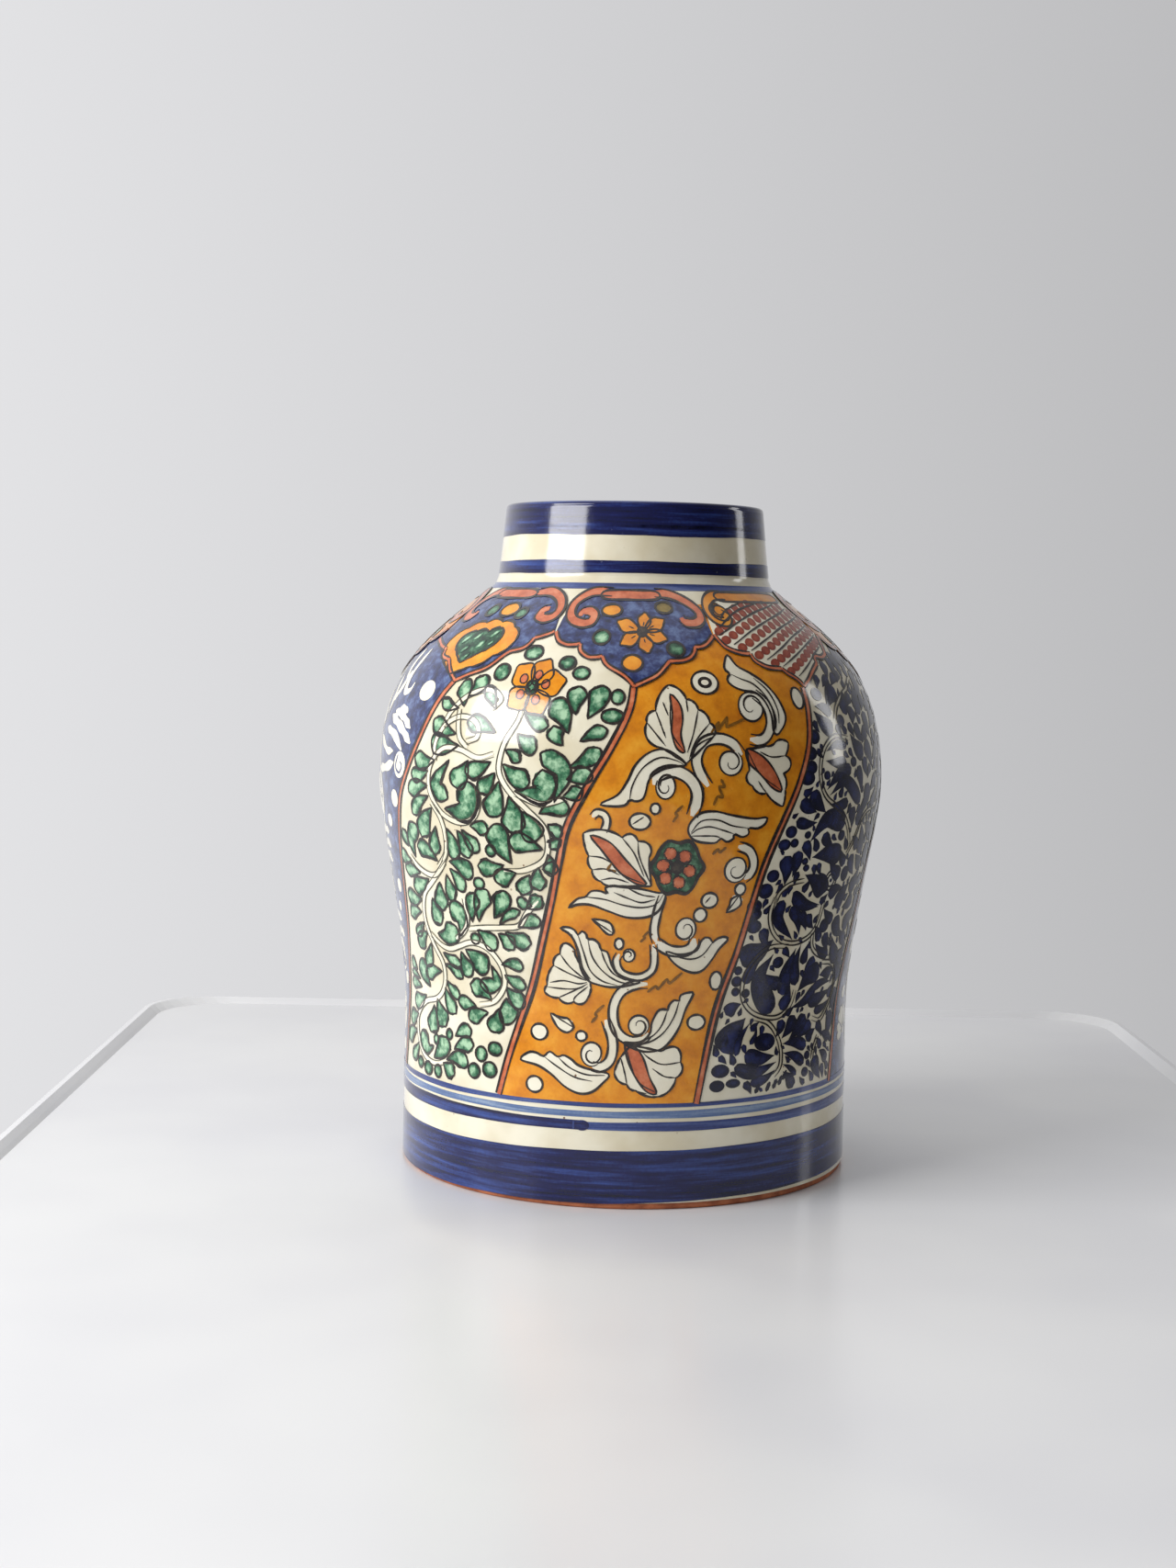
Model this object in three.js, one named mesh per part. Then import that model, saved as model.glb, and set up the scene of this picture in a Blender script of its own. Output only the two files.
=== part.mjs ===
// A talavera jar: an earthenware body thrown in four sections and luted together with slip, glazed
// inside and out, and painted with bands, swirling ribs, coloured grounds and hanging lappets.
// Millimetres, +Z up. The origin is the centre of the foot, on the surface that the jar stands on.
// The front of the jar faces -Y. Turns about the axis are in degrees from the front, towards +X.

import * as THREE from "three";

// Overall form, measured on the glazed outside.
const HEIGHT = 305;
const FOOT_RADIUS = 104.2;
const WAIST_RADIUS = 103.8;
const WAIST_HEIGHT = 74.5;
const BELLY_RADIUS = 117.1;
const BELLY_HEIGHT = 178;
const NECK_HEIGHT = 36;
const NECK_ROOT_RADIUS = 63.2;
const MOUTH_RADIUS = 59.4;

// How far each curve of the outline runs straight before it bends, and how steeply the shoulder
// meets the neck.
const WAIST_RISE = 31;
const BELLY_DROP = 17.5;
const BELLY_RISE = 51.4;
const SHOULDER_RUN = 43;
const SHOULDER_SLOPE = 39;

// Clay, slip and glaze.
const WALL = 7;
const FLOOR = 9;
const SLIP = 0.8;
const GLAZE = 0.5;
const BOND_GAP = 0.05;

// The foot is left bare, bevelled at both edges and hollowed underneath.
const FOOT_BEVEL = 1.2;
const FOOT_LAND = 11;
const FOOT_RECESS = 2.5;
const BARE_FOOT = 2.6;

// The lip is flat on top, with its outer and inner corners taken off. Its last stretch is level in
// every layer, whichever way the neck leans.
const LIP_BEVEL = 1.6;
const LIP_STRETCH = 4;

// Painted bands, as heights above the foot, or distances below the lip or round the neck root.
const FOOT_BAND = [BARE_FOOT + 0.4, 25.5];
const FOOT_STROKE = [34.5, 38];
const PALE_LINE = [40, 43];
const PANEL_LINE = [44.5, 46.5];
const RIM_BAND_DROP = 14.5;
const UPPER_LINE_RISE = [4, 9.5];
const LOWER_LINE_RISE = [-3, 1];

// Painted layers are thin solids that stand clear of the faceted glaze.
const BAND_PAINT = 0.15;
const PAINT = 0.25;
const PAINT_LIFT = 0.5;
const OUTLINE_GAP = 1.2;

// The swirling pattern: eight panels, each under one lappet, with a rib between neighbours.
const PANELS = 8;
const RIB_WIDTH = 4;
const RIB_TURN = 30;
const RIB_BOW = 0.09;
const LAPPET_TOP_GAP = 0.4;
const LAPPET_SIDE_GAP = 0.6;
const LAPPET_TIP_DROP = 43;
const LAPPET_SIDE_DROP = 22;
const LAPPET_LOBES = 3;
const LAPPET_SWAG = 2.4;

// Facets.
const TURN_FACETS = 40;
const SWELL_STEPS = 4;
const SHOULDER_STEPS = 7;
const LAPPET_COLUMNS = 12;
const LAPPET_ROWS = 6;
const RIB_SPLITS = 2;

const COLOURS = {
  clay: [0xb4693f, 0.9],
  slip: [0xc08058, 0.92],
  lining: [0xe6dcc6, 0.3],
  glaze: [0xece4d0, 0.18],
  cobalt: [0x1d2a5e, 0.2],
  wash: [0x3c5596, 0.2],
  pale: [0x8fa0c4, 0.2],
  orange: [0xdc8a26, 0.2],
  coral: [0xcf6d4c, 0.25],
  white: [0xf1ece0, 0.18],
};

const neckRoot = HEIGHT - NECK_HEIGHT;
const pitch = 360 / PANELS;

// The outline of the glazed outside, from the foot to the lip, as four curves end to end.
function outlineCurves() {
  const foot = new THREE.Vector2(FOOT_RADIUS, 0);
  const waist = new THREE.Vector2(WAIST_RADIUS, WAIST_HEIGHT);
  const belly = new THREE.Vector2(BELLY_RADIUS, BELLY_HEIGHT);
  const root = new THREE.Vector2(NECK_ROOT_RADIUS, neckRoot);
  const lip = new THREE.Vector2(MOUTH_RADIUS, HEIGHT);
  const underLip = root.clone().lerp(lip, 1 - LIP_STRETCH / NECK_HEIGHT);
  const slope = THREE.MathUtils.degToRad(SHOULDER_SLOPE);
  const run = new THREE.Vector2(Math.cos(slope), -Math.sin(slope)).multiplyScalar(SHOULDER_RUN);
  const swell = new THREE.CubicBezierCurve(
    waist,
    new THREE.Vector2(WAIST_RADIUS, WAIST_HEIGHT + WAIST_RISE),
    new THREE.Vector2(BELLY_RADIUS, BELLY_HEIGHT - BELLY_DROP),
    belly,
  );
  const shoulder = new THREE.CubicBezierCurve(
    belly,
    new THREE.Vector2(BELLY_RADIUS, BELLY_HEIGHT + BELLY_RISE),
    root.clone().add(run),
    root,
  );
  return [
    { curve: new THREE.LineCurve(foot, waist), steps: 1 },
    { curve: swell, steps: SWELL_STEPS },
    { curve: shoulder, steps: SHOULDER_STEPS },
    { curve: new THREE.LineCurve(root, underLip), steps: 1 },
    { curve: new THREE.LineCurve(underLip, lip), steps: 1 },
  ];
}

// The wall's stations, from the foot to the lip: a point of the outline and its outward normal, both
// in the radius and height plane. Where two curves meet, the normal is the mean of theirs. At the foot
// and along the lip it lies level.
function wallStations() {
  const stations = [];
  for (const { curve, steps } of outlineCurves()) {
    for (let i = 0; i <= steps; i += 1) {
      const tangent = curve.getTangent(i / steps);
      const normal = new THREE.Vector2(tangent.y, -tangent.x);
      const shared = i === 0 && stations.at(-1);
      if (shared) shared.normal.add(normal).normalize();
      else stations.push({ point: curve.getPoint(i / steps), normal });
    }
  }
  for (const end of [0, -2, -1]) stations.at(end).normal.set(1, 0);
  return stations;
}

const stations = wallStations();

// The neck is joined on at the last station below its root.
const neckJoint = stations.at(-4).point.y;

// A point at a height of the outline and at a depth under it. A negative depth stands proud. Between
// two stations every layer runs straight, so that layers at different depths lie parallel.
function wallPoint(height, depth) {
  const above = stations.findIndex(({ point }) => point.y >= height);
  const high = stations[Math.max(above, 1)];
  const low = stations[Math.max(above, 1) - 1];
  const t = (height - low.point.y) / (high.point.y - low.point.y);
  const normal = low.normal.clone().lerp(high.normal, t);
  return low.point.clone().lerp(high.point, t).sub(normal.multiplyScalar(depth));
}

// Two heights, with the stations between them.
function heightsBetween(low, high) {
  const between = stations.map(({ point }) => point.y).filter((z) => z > low && z < high);
  return [low, ...between, high];
}

// Everything is named and coloured here, and joins one group.
const jar = new THREE.Group();

function add(name, geometry, finish) {
  const [color, roughness] = COLOURS[finish];
  const material = new THREE.MeshStandardMaterial({ color, roughness, metalness: 0 });
  const mesh = new THREE.Mesh(geometry, material);
  mesh.name = name;
  jar.add(mesh);
}

// A turned solid from a closed profile, given as points in order with the outside going up.
function turned(points) {
  const closed = [...points, points[0]];
  return new THREE.LatheGeometry(closed, TURN_FACETS).rotateX(Math.PI / 2);
}

// A turned layer between two depths, from one height to another.
function layer(low, high, outerDepth, innerDepth) {
  const heights = heightsBetween(low, high);
  const outside = heights.map((z) => wallPoint(z, outerDepth));
  const inside = heights.map((z) => wallPoint(z, innerDepth)).reverse();
  return turned([...outside, ...inside]);
}

const clayOut = GLAZE + BOND_GAP;
const clayIn = clayOut + WALL;
const liningOut = clayIn + BOND_GAP;
const liningIn = liningOut + GLAZE;
const jointHalf = SLIP / 2 + BOND_GAP;
const floorTop = FOOT_RECESS + FLOOR;

// The bottom section is a floor and a straight wall on a bare foot ring.
function clayBase() {
  const top = WAIST_HEIGHT - jointHalf;
  const heights = heightsBetween(FOOT_BEVEL, top);
  const outside = heights.map((z) => wallPoint(z, clayOut));
  const inside = heights.slice(1).map((z) => wallPoint(z, clayIn)).reverse();
  const footEdge = FOOT_RADIUS - clayOut - FOOT_BEVEL;
  const ringInside = footEdge - FOOT_LAND;
  const points = [
    new THREE.Vector2(0, FOOT_RECESS),
    new THREE.Vector2(ringInside - FOOT_RECESS, FOOT_RECESS),
    new THREE.Vector2(ringInside, 0),
    new THREE.Vector2(footEdge, 0),
    ...outside,
    ...inside,
    new THREE.Vector2(wallPoint(floorTop, clayIn).x, floorTop),
    new THREE.Vector2(0, floorTop),
  ];
  return new THREE.LatheGeometry(points, TURN_FACETS).rotateX(Math.PI / 2);
}

// The neck ends in a flat lip with bevelled corners.
function clayNeck() {
  const low = neckJoint + jointHalf;
  const lipTop = HEIGHT - BAND_PAINT - BOND_GAP - clayOut;
  const shoulder = lipTop - LIP_BEVEL;
  const heights = heightsBetween(low, shoulder);
  const outside = heights.map((z) => wallPoint(z, clayOut));
  const inside = heights.map((z) => wallPoint(z, clayIn)).reverse();
  return turned([
    ...outside,
    new THREE.Vector2(wallPoint(lipTop, clayOut + LIP_BEVEL).x, lipTop),
    new THREE.Vector2(wallPoint(lipTop, clayIn - LIP_BEVEL).x, lipTop),
    ...inside,
  ]);
}

function addClay() {
  add("clay_base", clayBase(), "clay");
  const slipAt = (height) => layer(height - SLIP / 2, height + SLIP / 2, clayOut, clayIn);
  add("slip_joint_waist", slipAt(WAIST_HEIGHT), "slip");
  add("clay_belly", layer(WAIST_HEIGHT + jointHalf, BELLY_HEIGHT - jointHalf, clayOut, clayIn), "clay");
  add("slip_joint_belly", slipAt(BELLY_HEIGHT), "slip");
  add("clay_shoulder", layer(BELLY_HEIGHT + jointHalf, neckJoint - jointHalf, clayOut, clayIn), "clay");
  add("slip_joint_neck", slipAt(neckJoint), "slip");
  add("clay_neck", clayNeck(), "clay");
}

// The lining covers the floor and the inner wall, up to just under the lip.
function liningGlaze() {
  const low = floorTop + BOND_GAP + GLAZE;
  const high = HEIGHT - BAND_PAINT - BOND_GAP - clayOut - LIP_BEVEL;
  const heights = heightsBetween(low, high);
  const outside = heights.slice(1).map((z) => wallPoint(z, liningOut));
  const inside = heights.map((z) => wallPoint(z, liningIn)).reverse();
  const floorUnder = floorTop + BOND_GAP;
  const points = [
    new THREE.Vector2(0, floorUnder),
    new THREE.Vector2(wallPoint(floorUnder, liningOut).x, floorUnder),
    ...outside,
    ...inside,
    new THREE.Vector2(0, low),
  ];
  return new THREE.LatheGeometry(points, TURN_FACETS).rotateX(Math.PI / 2);
}

// The outer glaze runs from just above the foot, over the lip, to the top of the lining.
function outerGlaze() {
  const top = HEIGHT - BAND_PAINT - BOND_GAP;
  const bevel = top - LIP_BEVEL;
  const heights = heightsBetween(BARE_FOOT, bevel);
  const outside = heights.map((z) => wallPoint(z, 0));
  const under = heights.slice(0, -1).map((z) => wallPoint(z, GLAZE)).reverse();
  const underTop = top - GLAZE;
  const underBevel = underTop - LIP_BEVEL;
  const lowEdge = underBevel + BOND_GAP;
  return turned([
    ...outside,
    new THREE.Vector2(wallPoint(top, LIP_BEVEL).x, top),
    new THREE.Vector2(wallPoint(top, liningIn - LIP_BEVEL).x, top),
    new THREE.Vector2(wallPoint(bevel, liningIn).x, bevel),
    new THREE.Vector2(wallPoint(lowEdge, liningIn).x, lowEdge),
    new THREE.Vector2(wallPoint(lowEdge, liningOut).x, lowEdge),
    new THREE.Vector2(wallPoint(underTop, clayIn - LIP_BEVEL).x, underTop),
    new THREE.Vector2(wallPoint(underTop, clayOut + LIP_BEVEL).x, underTop),
    new THREE.Vector2(wallPoint(underBevel, GLAZE).x, underBevel),
    ...under,
  ]);
}

function addGlaze() {
  add("inner_glaze", liningGlaze(), "lining");
  add("outer_glaze", outerGlaze(), "glaze");
}

// The rim band wraps from below the lip, over its corner, across the flat top.
function rimBand() {
  const low = HEIGHT - RIM_BAND_DROP;
  const glazeTop = HEIGHT - BAND_PAINT - BOND_GAP;
  const bevel = glazeTop - LIP_BEVEL;
  const proud = -(BOND_GAP + BAND_PAINT);
  const landInside = liningIn - LIP_BEVEL;
  return turned([
    wallPoint(low, proud),
    wallPoint(bevel, proud),
    new THREE.Vector2(wallPoint(HEIGHT, LIP_BEVEL).x, HEIGHT),
    new THREE.Vector2(wallPoint(HEIGHT, landInside).x, HEIGHT),
    new THREE.Vector2(wallPoint(HEIGHT, landInside).x, HEIGHT - BAND_PAINT),
    new THREE.Vector2(wallPoint(HEIGHT, LIP_BEVEL).x, HEIGHT - BAND_PAINT),
    wallPoint(bevel, -BOND_GAP),
    wallPoint(low, -BOND_GAP),
  ]);
}

function addBands() {
  const proud = -(BOND_GAP + BAND_PAINT);
  const band = (low, high) => layer(low, high, proud, -BOND_GAP);
  add("foot_band", band(...FOOT_BAND), "cobalt");
  add("foot_stroke", band(...FOOT_STROKE), "cobalt");
  add("pale_line", band(...PALE_LINE), "pale");
  add("panel_line", band(...PANEL_LINE), "wash");
  add("neck_line_lower", band(...LOWER_LINE_RISE.map((rise) => neckRoot + rise)), "wash");
  add("neck_line_upper", band(...UPPER_LINE_RISE.map((rise) => neckRoot + rise)), "cobalt");
  add("rim_band", rimBand(), "cobalt");
}

// A thin painted solid over a grid. place(u, v) gives a turn and a height for each grid point.
function patch(columns, rows, place) {
  const positions = [];
  for (const depth of [-(PAINT_LIFT + PAINT), -PAINT_LIFT]) {
    for (let j = 0; j <= rows; j += 1) {
      for (let i = 0; i <= columns; i += 1) {
        const { turn, height } = place(i / columns, j / rows);
        const angle = THREE.MathUtils.degToRad(turn);
        const at = wallPoint(height, depth);
        positions.push(at.x * Math.sin(angle), -at.x * Math.cos(angle), at.y);
      }
    }
  }
  const layerSize = (columns + 1) * (rows + 1);
  const front = (i, j) => j * (columns + 1) + i;
  const back = (i, j) => front(i, j) + layerSize;
  const indices = [];
  const quad = (a, b, c, d) => indices.push(a, b, c, a, c, d);
  for (let j = 0; j < rows; j += 1) {
    for (let i = 0; i < columns; i += 1) {
      quad(front(i, j), front(i + 1, j), front(i + 1, j + 1), front(i, j + 1));
      quad(back(i, j), back(i, j + 1), back(i + 1, j + 1), back(i + 1, j));
    }
  }
  for (let i = 0; i < columns; i += 1) {
    quad(front(i, 0), back(i, 0), back(i + 1, 0), front(i + 1, 0));
    quad(front(i, rows), front(i + 1, rows), back(i + 1, rows), back(i, rows));
  }
  for (let j = 0; j < rows; j += 1) {
    quad(front(0, j), front(0, j + 1), back(0, j + 1), back(0, j));
    quad(front(columns, j), back(columns, j), back(columns, j + 1), front(columns, j + 1));
  }
  const geometry = new THREE.BufferGeometry();
  geometry.setAttribute("position", new THREE.Float32BufferAttribute(positions, 3));
  geometry.setIndex(indices);
  geometry.computeVertexNormals();
  return geometry;
}

const panelBase = PANEL_LINE[1] + LAPPET_TOP_GAP;
const lappetTop = neckRoot + LOWER_LINE_RISE[0] - LAPPET_TOP_GAP;
const lappetTip = neckRoot - LAPPET_TIP_DROP;
const lappetSide = neckRoot - LAPPET_SIDE_DROP;
const { lerp, clamp } = THREE.MathUtils;

// The turn of every rib from its top: it leans one way, with a slight bow.
function swirl(height) {
  const v = clamp((height - panelBase) / (lappetTip - panelBase), 0, 1);
  return -RIB_TURN * (1 - v + RIB_BOW * Math.sin(Math.PI * v));
}

// Half of a rib's width, as a turn.
function ribHalf(height) {
  return THREE.MathUtils.radToDeg(RIB_WIDTH / 2 / wallPoint(height, 0).x);
}

// The lower edge of a lappet: a point at its middle, then round lobes rising to its sides.
function lappetEdge(turn) {
  const across = Math.abs(turn) / (pitch / 2);
  const swag = LAPPET_SWAG * Math.abs(Math.sin(Math.PI * LAPPET_LOBES * across));
  return lerp(lappetTip, lappetSide, Math.sqrt(across)) - swag * across;
}

// A rib's rows lie at the wall's stations and evenly between them, so that it lies flat on the glaze.
function rib(middle) {
  const bends = heightsBetween(panelBase, lappetTip - OUTLINE_GAP);
  const heights = bends.slice(1).flatMap((bend, i) =>
    Array.from({ length: RIB_SPLITS }, (_, k) => lerp(bends[i], bend, (k + 1) / RIB_SPLITS)),
  );
  const rows = [panelBase, ...heights];
  return patch(1, heights.length, (u, v) => {
    const height = rows[Math.round(v * heights.length)];
    return { turn: middle + swirl(height) + (2 * u - 1) * ribHalf(height), height };
  });
}

function lappet(middle) {
  const half = pitch / 2 - THREE.MathUtils.radToDeg(LAPPET_SIDE_GAP / NECK_ROOT_RADIUS) / 2;
  return patch(LAPPET_COLUMNS, LAPPET_ROWS, (u, v) => {
    const turn = (2 * u - 1) * half;
    return { turn: middle + turn, height: lerp(lappetEdge(turn), lappetTop, v) };
  });
}

// Eight ribs, and a lappet over each. Four finishes of lappet repeat twice round the jar.
function addPattern() {
  const lappets = ["wash", "wash", "white", "orange"];
  for (let k = 0; k < PANELS; k += 1) {
    const middle = (k - 2) * pitch;
    add(`rib_${k + 1}`, rib(middle), "coral");
    add(`lappet_${k + 1}`, lappet(middle), lappets[(k + 3) % lappets.length]);
  }
}

addClay();
addGlaze();
addBands();
addPattern();

export default jar;
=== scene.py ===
"""A talavera jar: bare clay foot, glossy tin glaze, painted bands, swirling ribs, leafy panels and lappets.

The painting is laid out flat, with a turn about the jar in degrees from the front, towards +X, across,
and a height above the foot in millimetres up. Each painted piece is then wrapped onto the wall.
"""

import math
import random

import bpy
import numpy as np
from mathutils import Euler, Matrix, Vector
from mathutils.geometry import delaunay_2d_cdt


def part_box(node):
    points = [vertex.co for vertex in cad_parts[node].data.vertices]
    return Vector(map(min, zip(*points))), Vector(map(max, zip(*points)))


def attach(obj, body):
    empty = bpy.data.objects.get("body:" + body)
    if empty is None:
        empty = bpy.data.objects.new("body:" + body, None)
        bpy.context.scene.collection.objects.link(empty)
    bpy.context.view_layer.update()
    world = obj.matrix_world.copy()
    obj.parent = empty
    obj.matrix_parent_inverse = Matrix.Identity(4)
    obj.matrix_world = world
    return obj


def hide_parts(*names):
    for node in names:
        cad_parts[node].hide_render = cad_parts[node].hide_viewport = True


bl_info = {
    "name": "Talavera Jar",
    "version": (1, 0, 0),
    "blender": (4, 5, 0),
    "location": "View3D > Sidebar > Talavera Jar",
    "description": "Builds a hand-painted tin-glazed jar round its turned frame",
    "category": "Object",
}

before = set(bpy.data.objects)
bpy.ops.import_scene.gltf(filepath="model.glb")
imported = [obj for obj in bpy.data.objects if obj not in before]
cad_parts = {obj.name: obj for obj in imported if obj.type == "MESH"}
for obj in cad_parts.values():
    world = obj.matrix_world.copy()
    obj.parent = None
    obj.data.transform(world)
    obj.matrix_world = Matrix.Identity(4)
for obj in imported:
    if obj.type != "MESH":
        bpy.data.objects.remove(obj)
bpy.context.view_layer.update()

MM = 0.001
HALF_TURN = 180.0
BODY = "root"

# Edges that turn by more than this many degrees stay crisp.
CRISP_EDGE = 35


# ---------------------------------------------------------------- the wall


def node_corners(node):
    """The corners of a turned node's section, as (radius, height) in millimetres."""
    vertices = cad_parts[node].data.vertices
    return sorted({(round(math.hypot(v.co.x, v.co.y) / MM, 2), round(v.co.z / MM, 2)) for v in vertices},
                  key=lambda corner: corner[1])


class Wall:
    """The glazed outside of the jar: its radius, its slope and points at a depth under it."""

    STEP = 0.5
    SOFTEN = 5

    def __init__(self):
        corners = node_corners("outer_glaze")
        self.foot = corners[0][1]
        self.top = corners[-1][1]
        stations = [c for c in corners
                    if not any(abs(c[1] - d[1]) < 0.6 and d[0] > c[0] + 0.2 for d in corners)]
        stations = [c for c in stations if c[1] < self.top - 0.5]
        points = np.array(stations)
        waist, root = 1, len(points) - 3
        curve = through([tuple(p) for p in points[waist:root + 1]], ends=((0, 1), None))
        outline = np.vstack([points[:1], curve, points[root + 1:]])
        self.heights = np.arange(0, self.top + 4, self.STEP)
        radii = np.interp(self.heights, outline[:, 1], outline[:, 0])
        kernel = np.hanning(self.SOFTEN * 2 + 3)[1:-1]
        padded = np.pad(radii, self.SOFTEN, mode="edge")
        self.radii = np.convolve(padded, kernel / kernel.sum(), mode="valid")

    def radius(self, height):
        return float(np.interp(height, self.heights, self.radii))

    def millimetres_per_degree(self, height):
        return math.radians(self.radius(height))

    def point(self, height, depth=0.0):
        """A point of the section at a depth under the outside, as (radius, height)."""
        rise = self.radius(height + 1) - self.radius(height - 1)
        length = math.hypot(2, rise)
        return self.radius(height) - depth * 2 / length, height + depth * rise / length


def through(points, ends=None, closed=False, steps=8):
    """A smooth curve through points, as rows of an array. ends may give a direction at either end."""
    p = np.array(points, float)
    count = len(p)
    if count == 2 and not closed:
        return p
    if closed:
        tangents = (np.roll(p, -1, 0) - np.roll(p, 1, 0)) / 2
    else:
        tangents = np.gradient(p, axis=0)
        for at, way, span in zip((0, -1), ends or (None, None), (p[1] - p[0], p[-1] - p[-2])):
            tangents[at] = span if way is None else np.array(way) * np.linalg.norm(span)
    t = np.linspace(0, 1, steps, endpoint=False)[:, None]
    shape = (2 * t**3 - 3 * t**2 + 1, t**3 - 2 * t**2 + t, 3 * t**2 - 2 * t**3, t**3 - t**2)
    rows = []
    for i in range(count if closed else count - 1):
        j = (i + 1) % count
        length = np.linalg.norm(p[j] - p[i])
        a, b = (m * min(1, 1.5 * length / max(np.linalg.norm(m), 1e-9)) for m in (tangents[i], tangents[j]))
        rows.append(shape[0] * p[i] + shape[1] * a + shape[2] * p[j] + shape[3] * b)
    if not closed:
        rows.append(p[-1:])
    return np.vstack(rows)


WALL = Wall()


# ---------------------------------------------------------------- shader helpers


def paint(red, green, blue):
    """A paint's colour, given as it looks on a screen, in linear light."""
    def linear(c):
        return c / 12.92 if c <= 0.04045 else ((c + 0.055) / 1.055) ** 2.4
    return tuple(linear(c / 255) for c in (red, green, blue)) + (1.0,)


class Value:
    """A number in a shader, with the arithmetic that adds its Math nodes."""

    def __init__(self, finish, socket):
        self.finish, self.socket = finish, socket

    def math(self, operation, *others):
        made = self.finish.node("ShaderNodeMath", {"operation": operation}, self, *others)
        return Value(self.finish, made.outputs[0])

    def __add__(self, other):
        return self.math("ADD", other)

    def __sub__(self, other):
        return self.math("SUBTRACT", other)

    def __mul__(self, other):
        return self.math("MULTIPLY", other)

    def __rsub__(self, other):
        return (self * -1) + other

    __radd__ = __add__
    __rmul__ = __mul__

    def over(self, low, high):
        """0 under low, 1 over high and even between."""
        settings = {"interpolation_type": "SMOOTHSTEP", "clamp": True}
        made = self.finish.node("ShaderNodeMapRange", settings, self, low, high, 0.0, 1.0)
        return Value(self.finish, made.outputs[0])


class Finish:
    """A procedural material that reads object coordinates, and a piece's own tone attribute."""

    def __init__(self, name):
        self.material = bpy.data.materials.new(name)
        self.material.use_nodes = True
        self.tree = self.material.node_tree
        self.shader = self.tree.nodes["Principled BSDF"]
        self.place = self.node("ShaderNodeTexCoord", {}).outputs["Object"]

    def node(self, kind, settings, *values, **named):
        """Adds a node: its settings first, then the values or links of its sockets."""
        made = self.tree.nodes.new(kind)
        for key, value in settings.items():
            if key == "stops":
                ramp = made.color_ramp
                while len(ramp.elements) < len(value):
                    ramp.elements.new(0.5)
                for element, (position, colour) in zip(ramp.elements, value):
                    element.position, element.color = position, colour
            else:
                setattr(made, key, value)
        for key, value in [*enumerate(values), *named.items()]:
            self.feed(made.inputs[key], value)
        return made

    def feed(self, socket, value):
        if isinstance(value, Value):
            value = value.socket
        if isinstance(value, bpy.types.NodeSocket):
            self.tree.links.new(value, socket)
        else:
            socket.default_value = value

    def tone(self):
        """0 at the edge of a painted shape and 1 in its middle."""
        return Value(self, self.node("ShaderNodeAttribute", {"attribute_name": "tone"}).outputs["Fac"])

    def noise(self, size, detail=3.0, rough=0.55, stretch=(1, 1, 1)):
        """Noise from 0 to 1, with patches about size millimetres across."""
        at = self.node("ShaderNodeMapping", {}, self.place, Scale=stretch).outputs[0]
        made = self.node("ShaderNodeTexNoise", {}, Vector=at, Scale=1 / (size * MM), Detail=detail,
                         Roughness=rough)
        return Value(self, made.outputs["Fac"])

    def spots(self, size, radius):
        """1 in scattered round spots, in cells of that size, and 0 between them."""
        made = self.node("ShaderNodeTexVoronoi", {}, Vector=self.place, Scale=1 / (size * MM))
        keep = self.noise(size * 3, 1).over(0.52, 0.6)
        return (1 - Value(self, made.outputs["Distance"]).over(radius * 0.5, radius)) * keep

    def mix(self, share, first, second):
        """One colour passing into another."""
        made = self.node("ShaderNodeMix", {"data_type": "RGBA"})
        for key, value in ((0, share), (6, first), (7, second)):
            self.feed(made.inputs[key], value)
        return made.outputs[2]

    def ramp(self, share, *stops):
        return self.node("ShaderNodeValToRGB", {"stops": stops}, share).outputs[0]

    def finish(self, colour, roughness, height=None, depth=0.02, coat=0.0):
        """Links the colour, the roughness and a relief in millimetres."""
        self.feed(self.shader.inputs["Base Color"], colour)
        self.feed(self.shader.inputs["Roughness"], roughness)
        self.shader.inputs["Coat Weight"].default_value = coat
        self.shader.inputs["Coat Roughness"].default_value = 0.08
        self.shader.inputs["Specular IOR Level"].default_value = 0.3 if coat else 0.5
        if height is not None:
            bump = self.node("ShaderNodeBump", {}, Strength=1.0, Distance=depth * MM, Height=height)
            self.feed(self.shader.inputs["Normal"], bump.outputs[0])
        return self.material


# A glaze's lowest roughness, the height of its relief in millimetres, and its clear coat.
GLOSS = 0.1
RELIEF = 0.045
COAT = 0.6


def glaze_relief(finish):
    """The slow waves of a hand-dipped glaze, with fine pits."""
    waves = finish.noise(9, 2)
    fine = finish.noise(1.1, 3)
    return waves * 3 + fine * 0.55 - finish.spots(3.2, 0.16) * 1.6


def glazed_paint(name, dark, middle, light, patch, contrast, edge):
    """Paint fused in the glaze: darker where the brush left more, and thin where it ran dry."""
    f = Finish(name)
    wash = f.noise(patch, 4, 0.6, STREAK if name in STREAKED else (1, 1, 1))
    grain = f.noise(1.3, 2)
    share = f.tone() * edge + (wash - 0.5) * contrast + (grain - 0.5) * 0.25 + (0.5 - edge / 2)
    colour = f.ramp(share, (0.05, paint(*dark)), (0.5, paint(*middle)), (0.95, paint(*light)))
    return f.finish(colour, f.noise(12, 2) * 0.1 + GLOSS, glaze_relief(f), RELIEF, COAT)


def tin_glaze(name, light, dark):
    """Opaque glaze with faint clouds, rusty specks and small pits."""
    f = Finish(name)
    clouds = f.mix(f.noise(30, 3).over(0.3, 0.7), paint(*light), paint(*dark))
    specks = f.mix(f.spots(7, 0.09), clouds, paint(120, 78, 45))
    return f.finish(specks, f.noise(14, 2) * 0.1 + GLOSS, glaze_relief(f), RELIEF, COAT)


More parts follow.
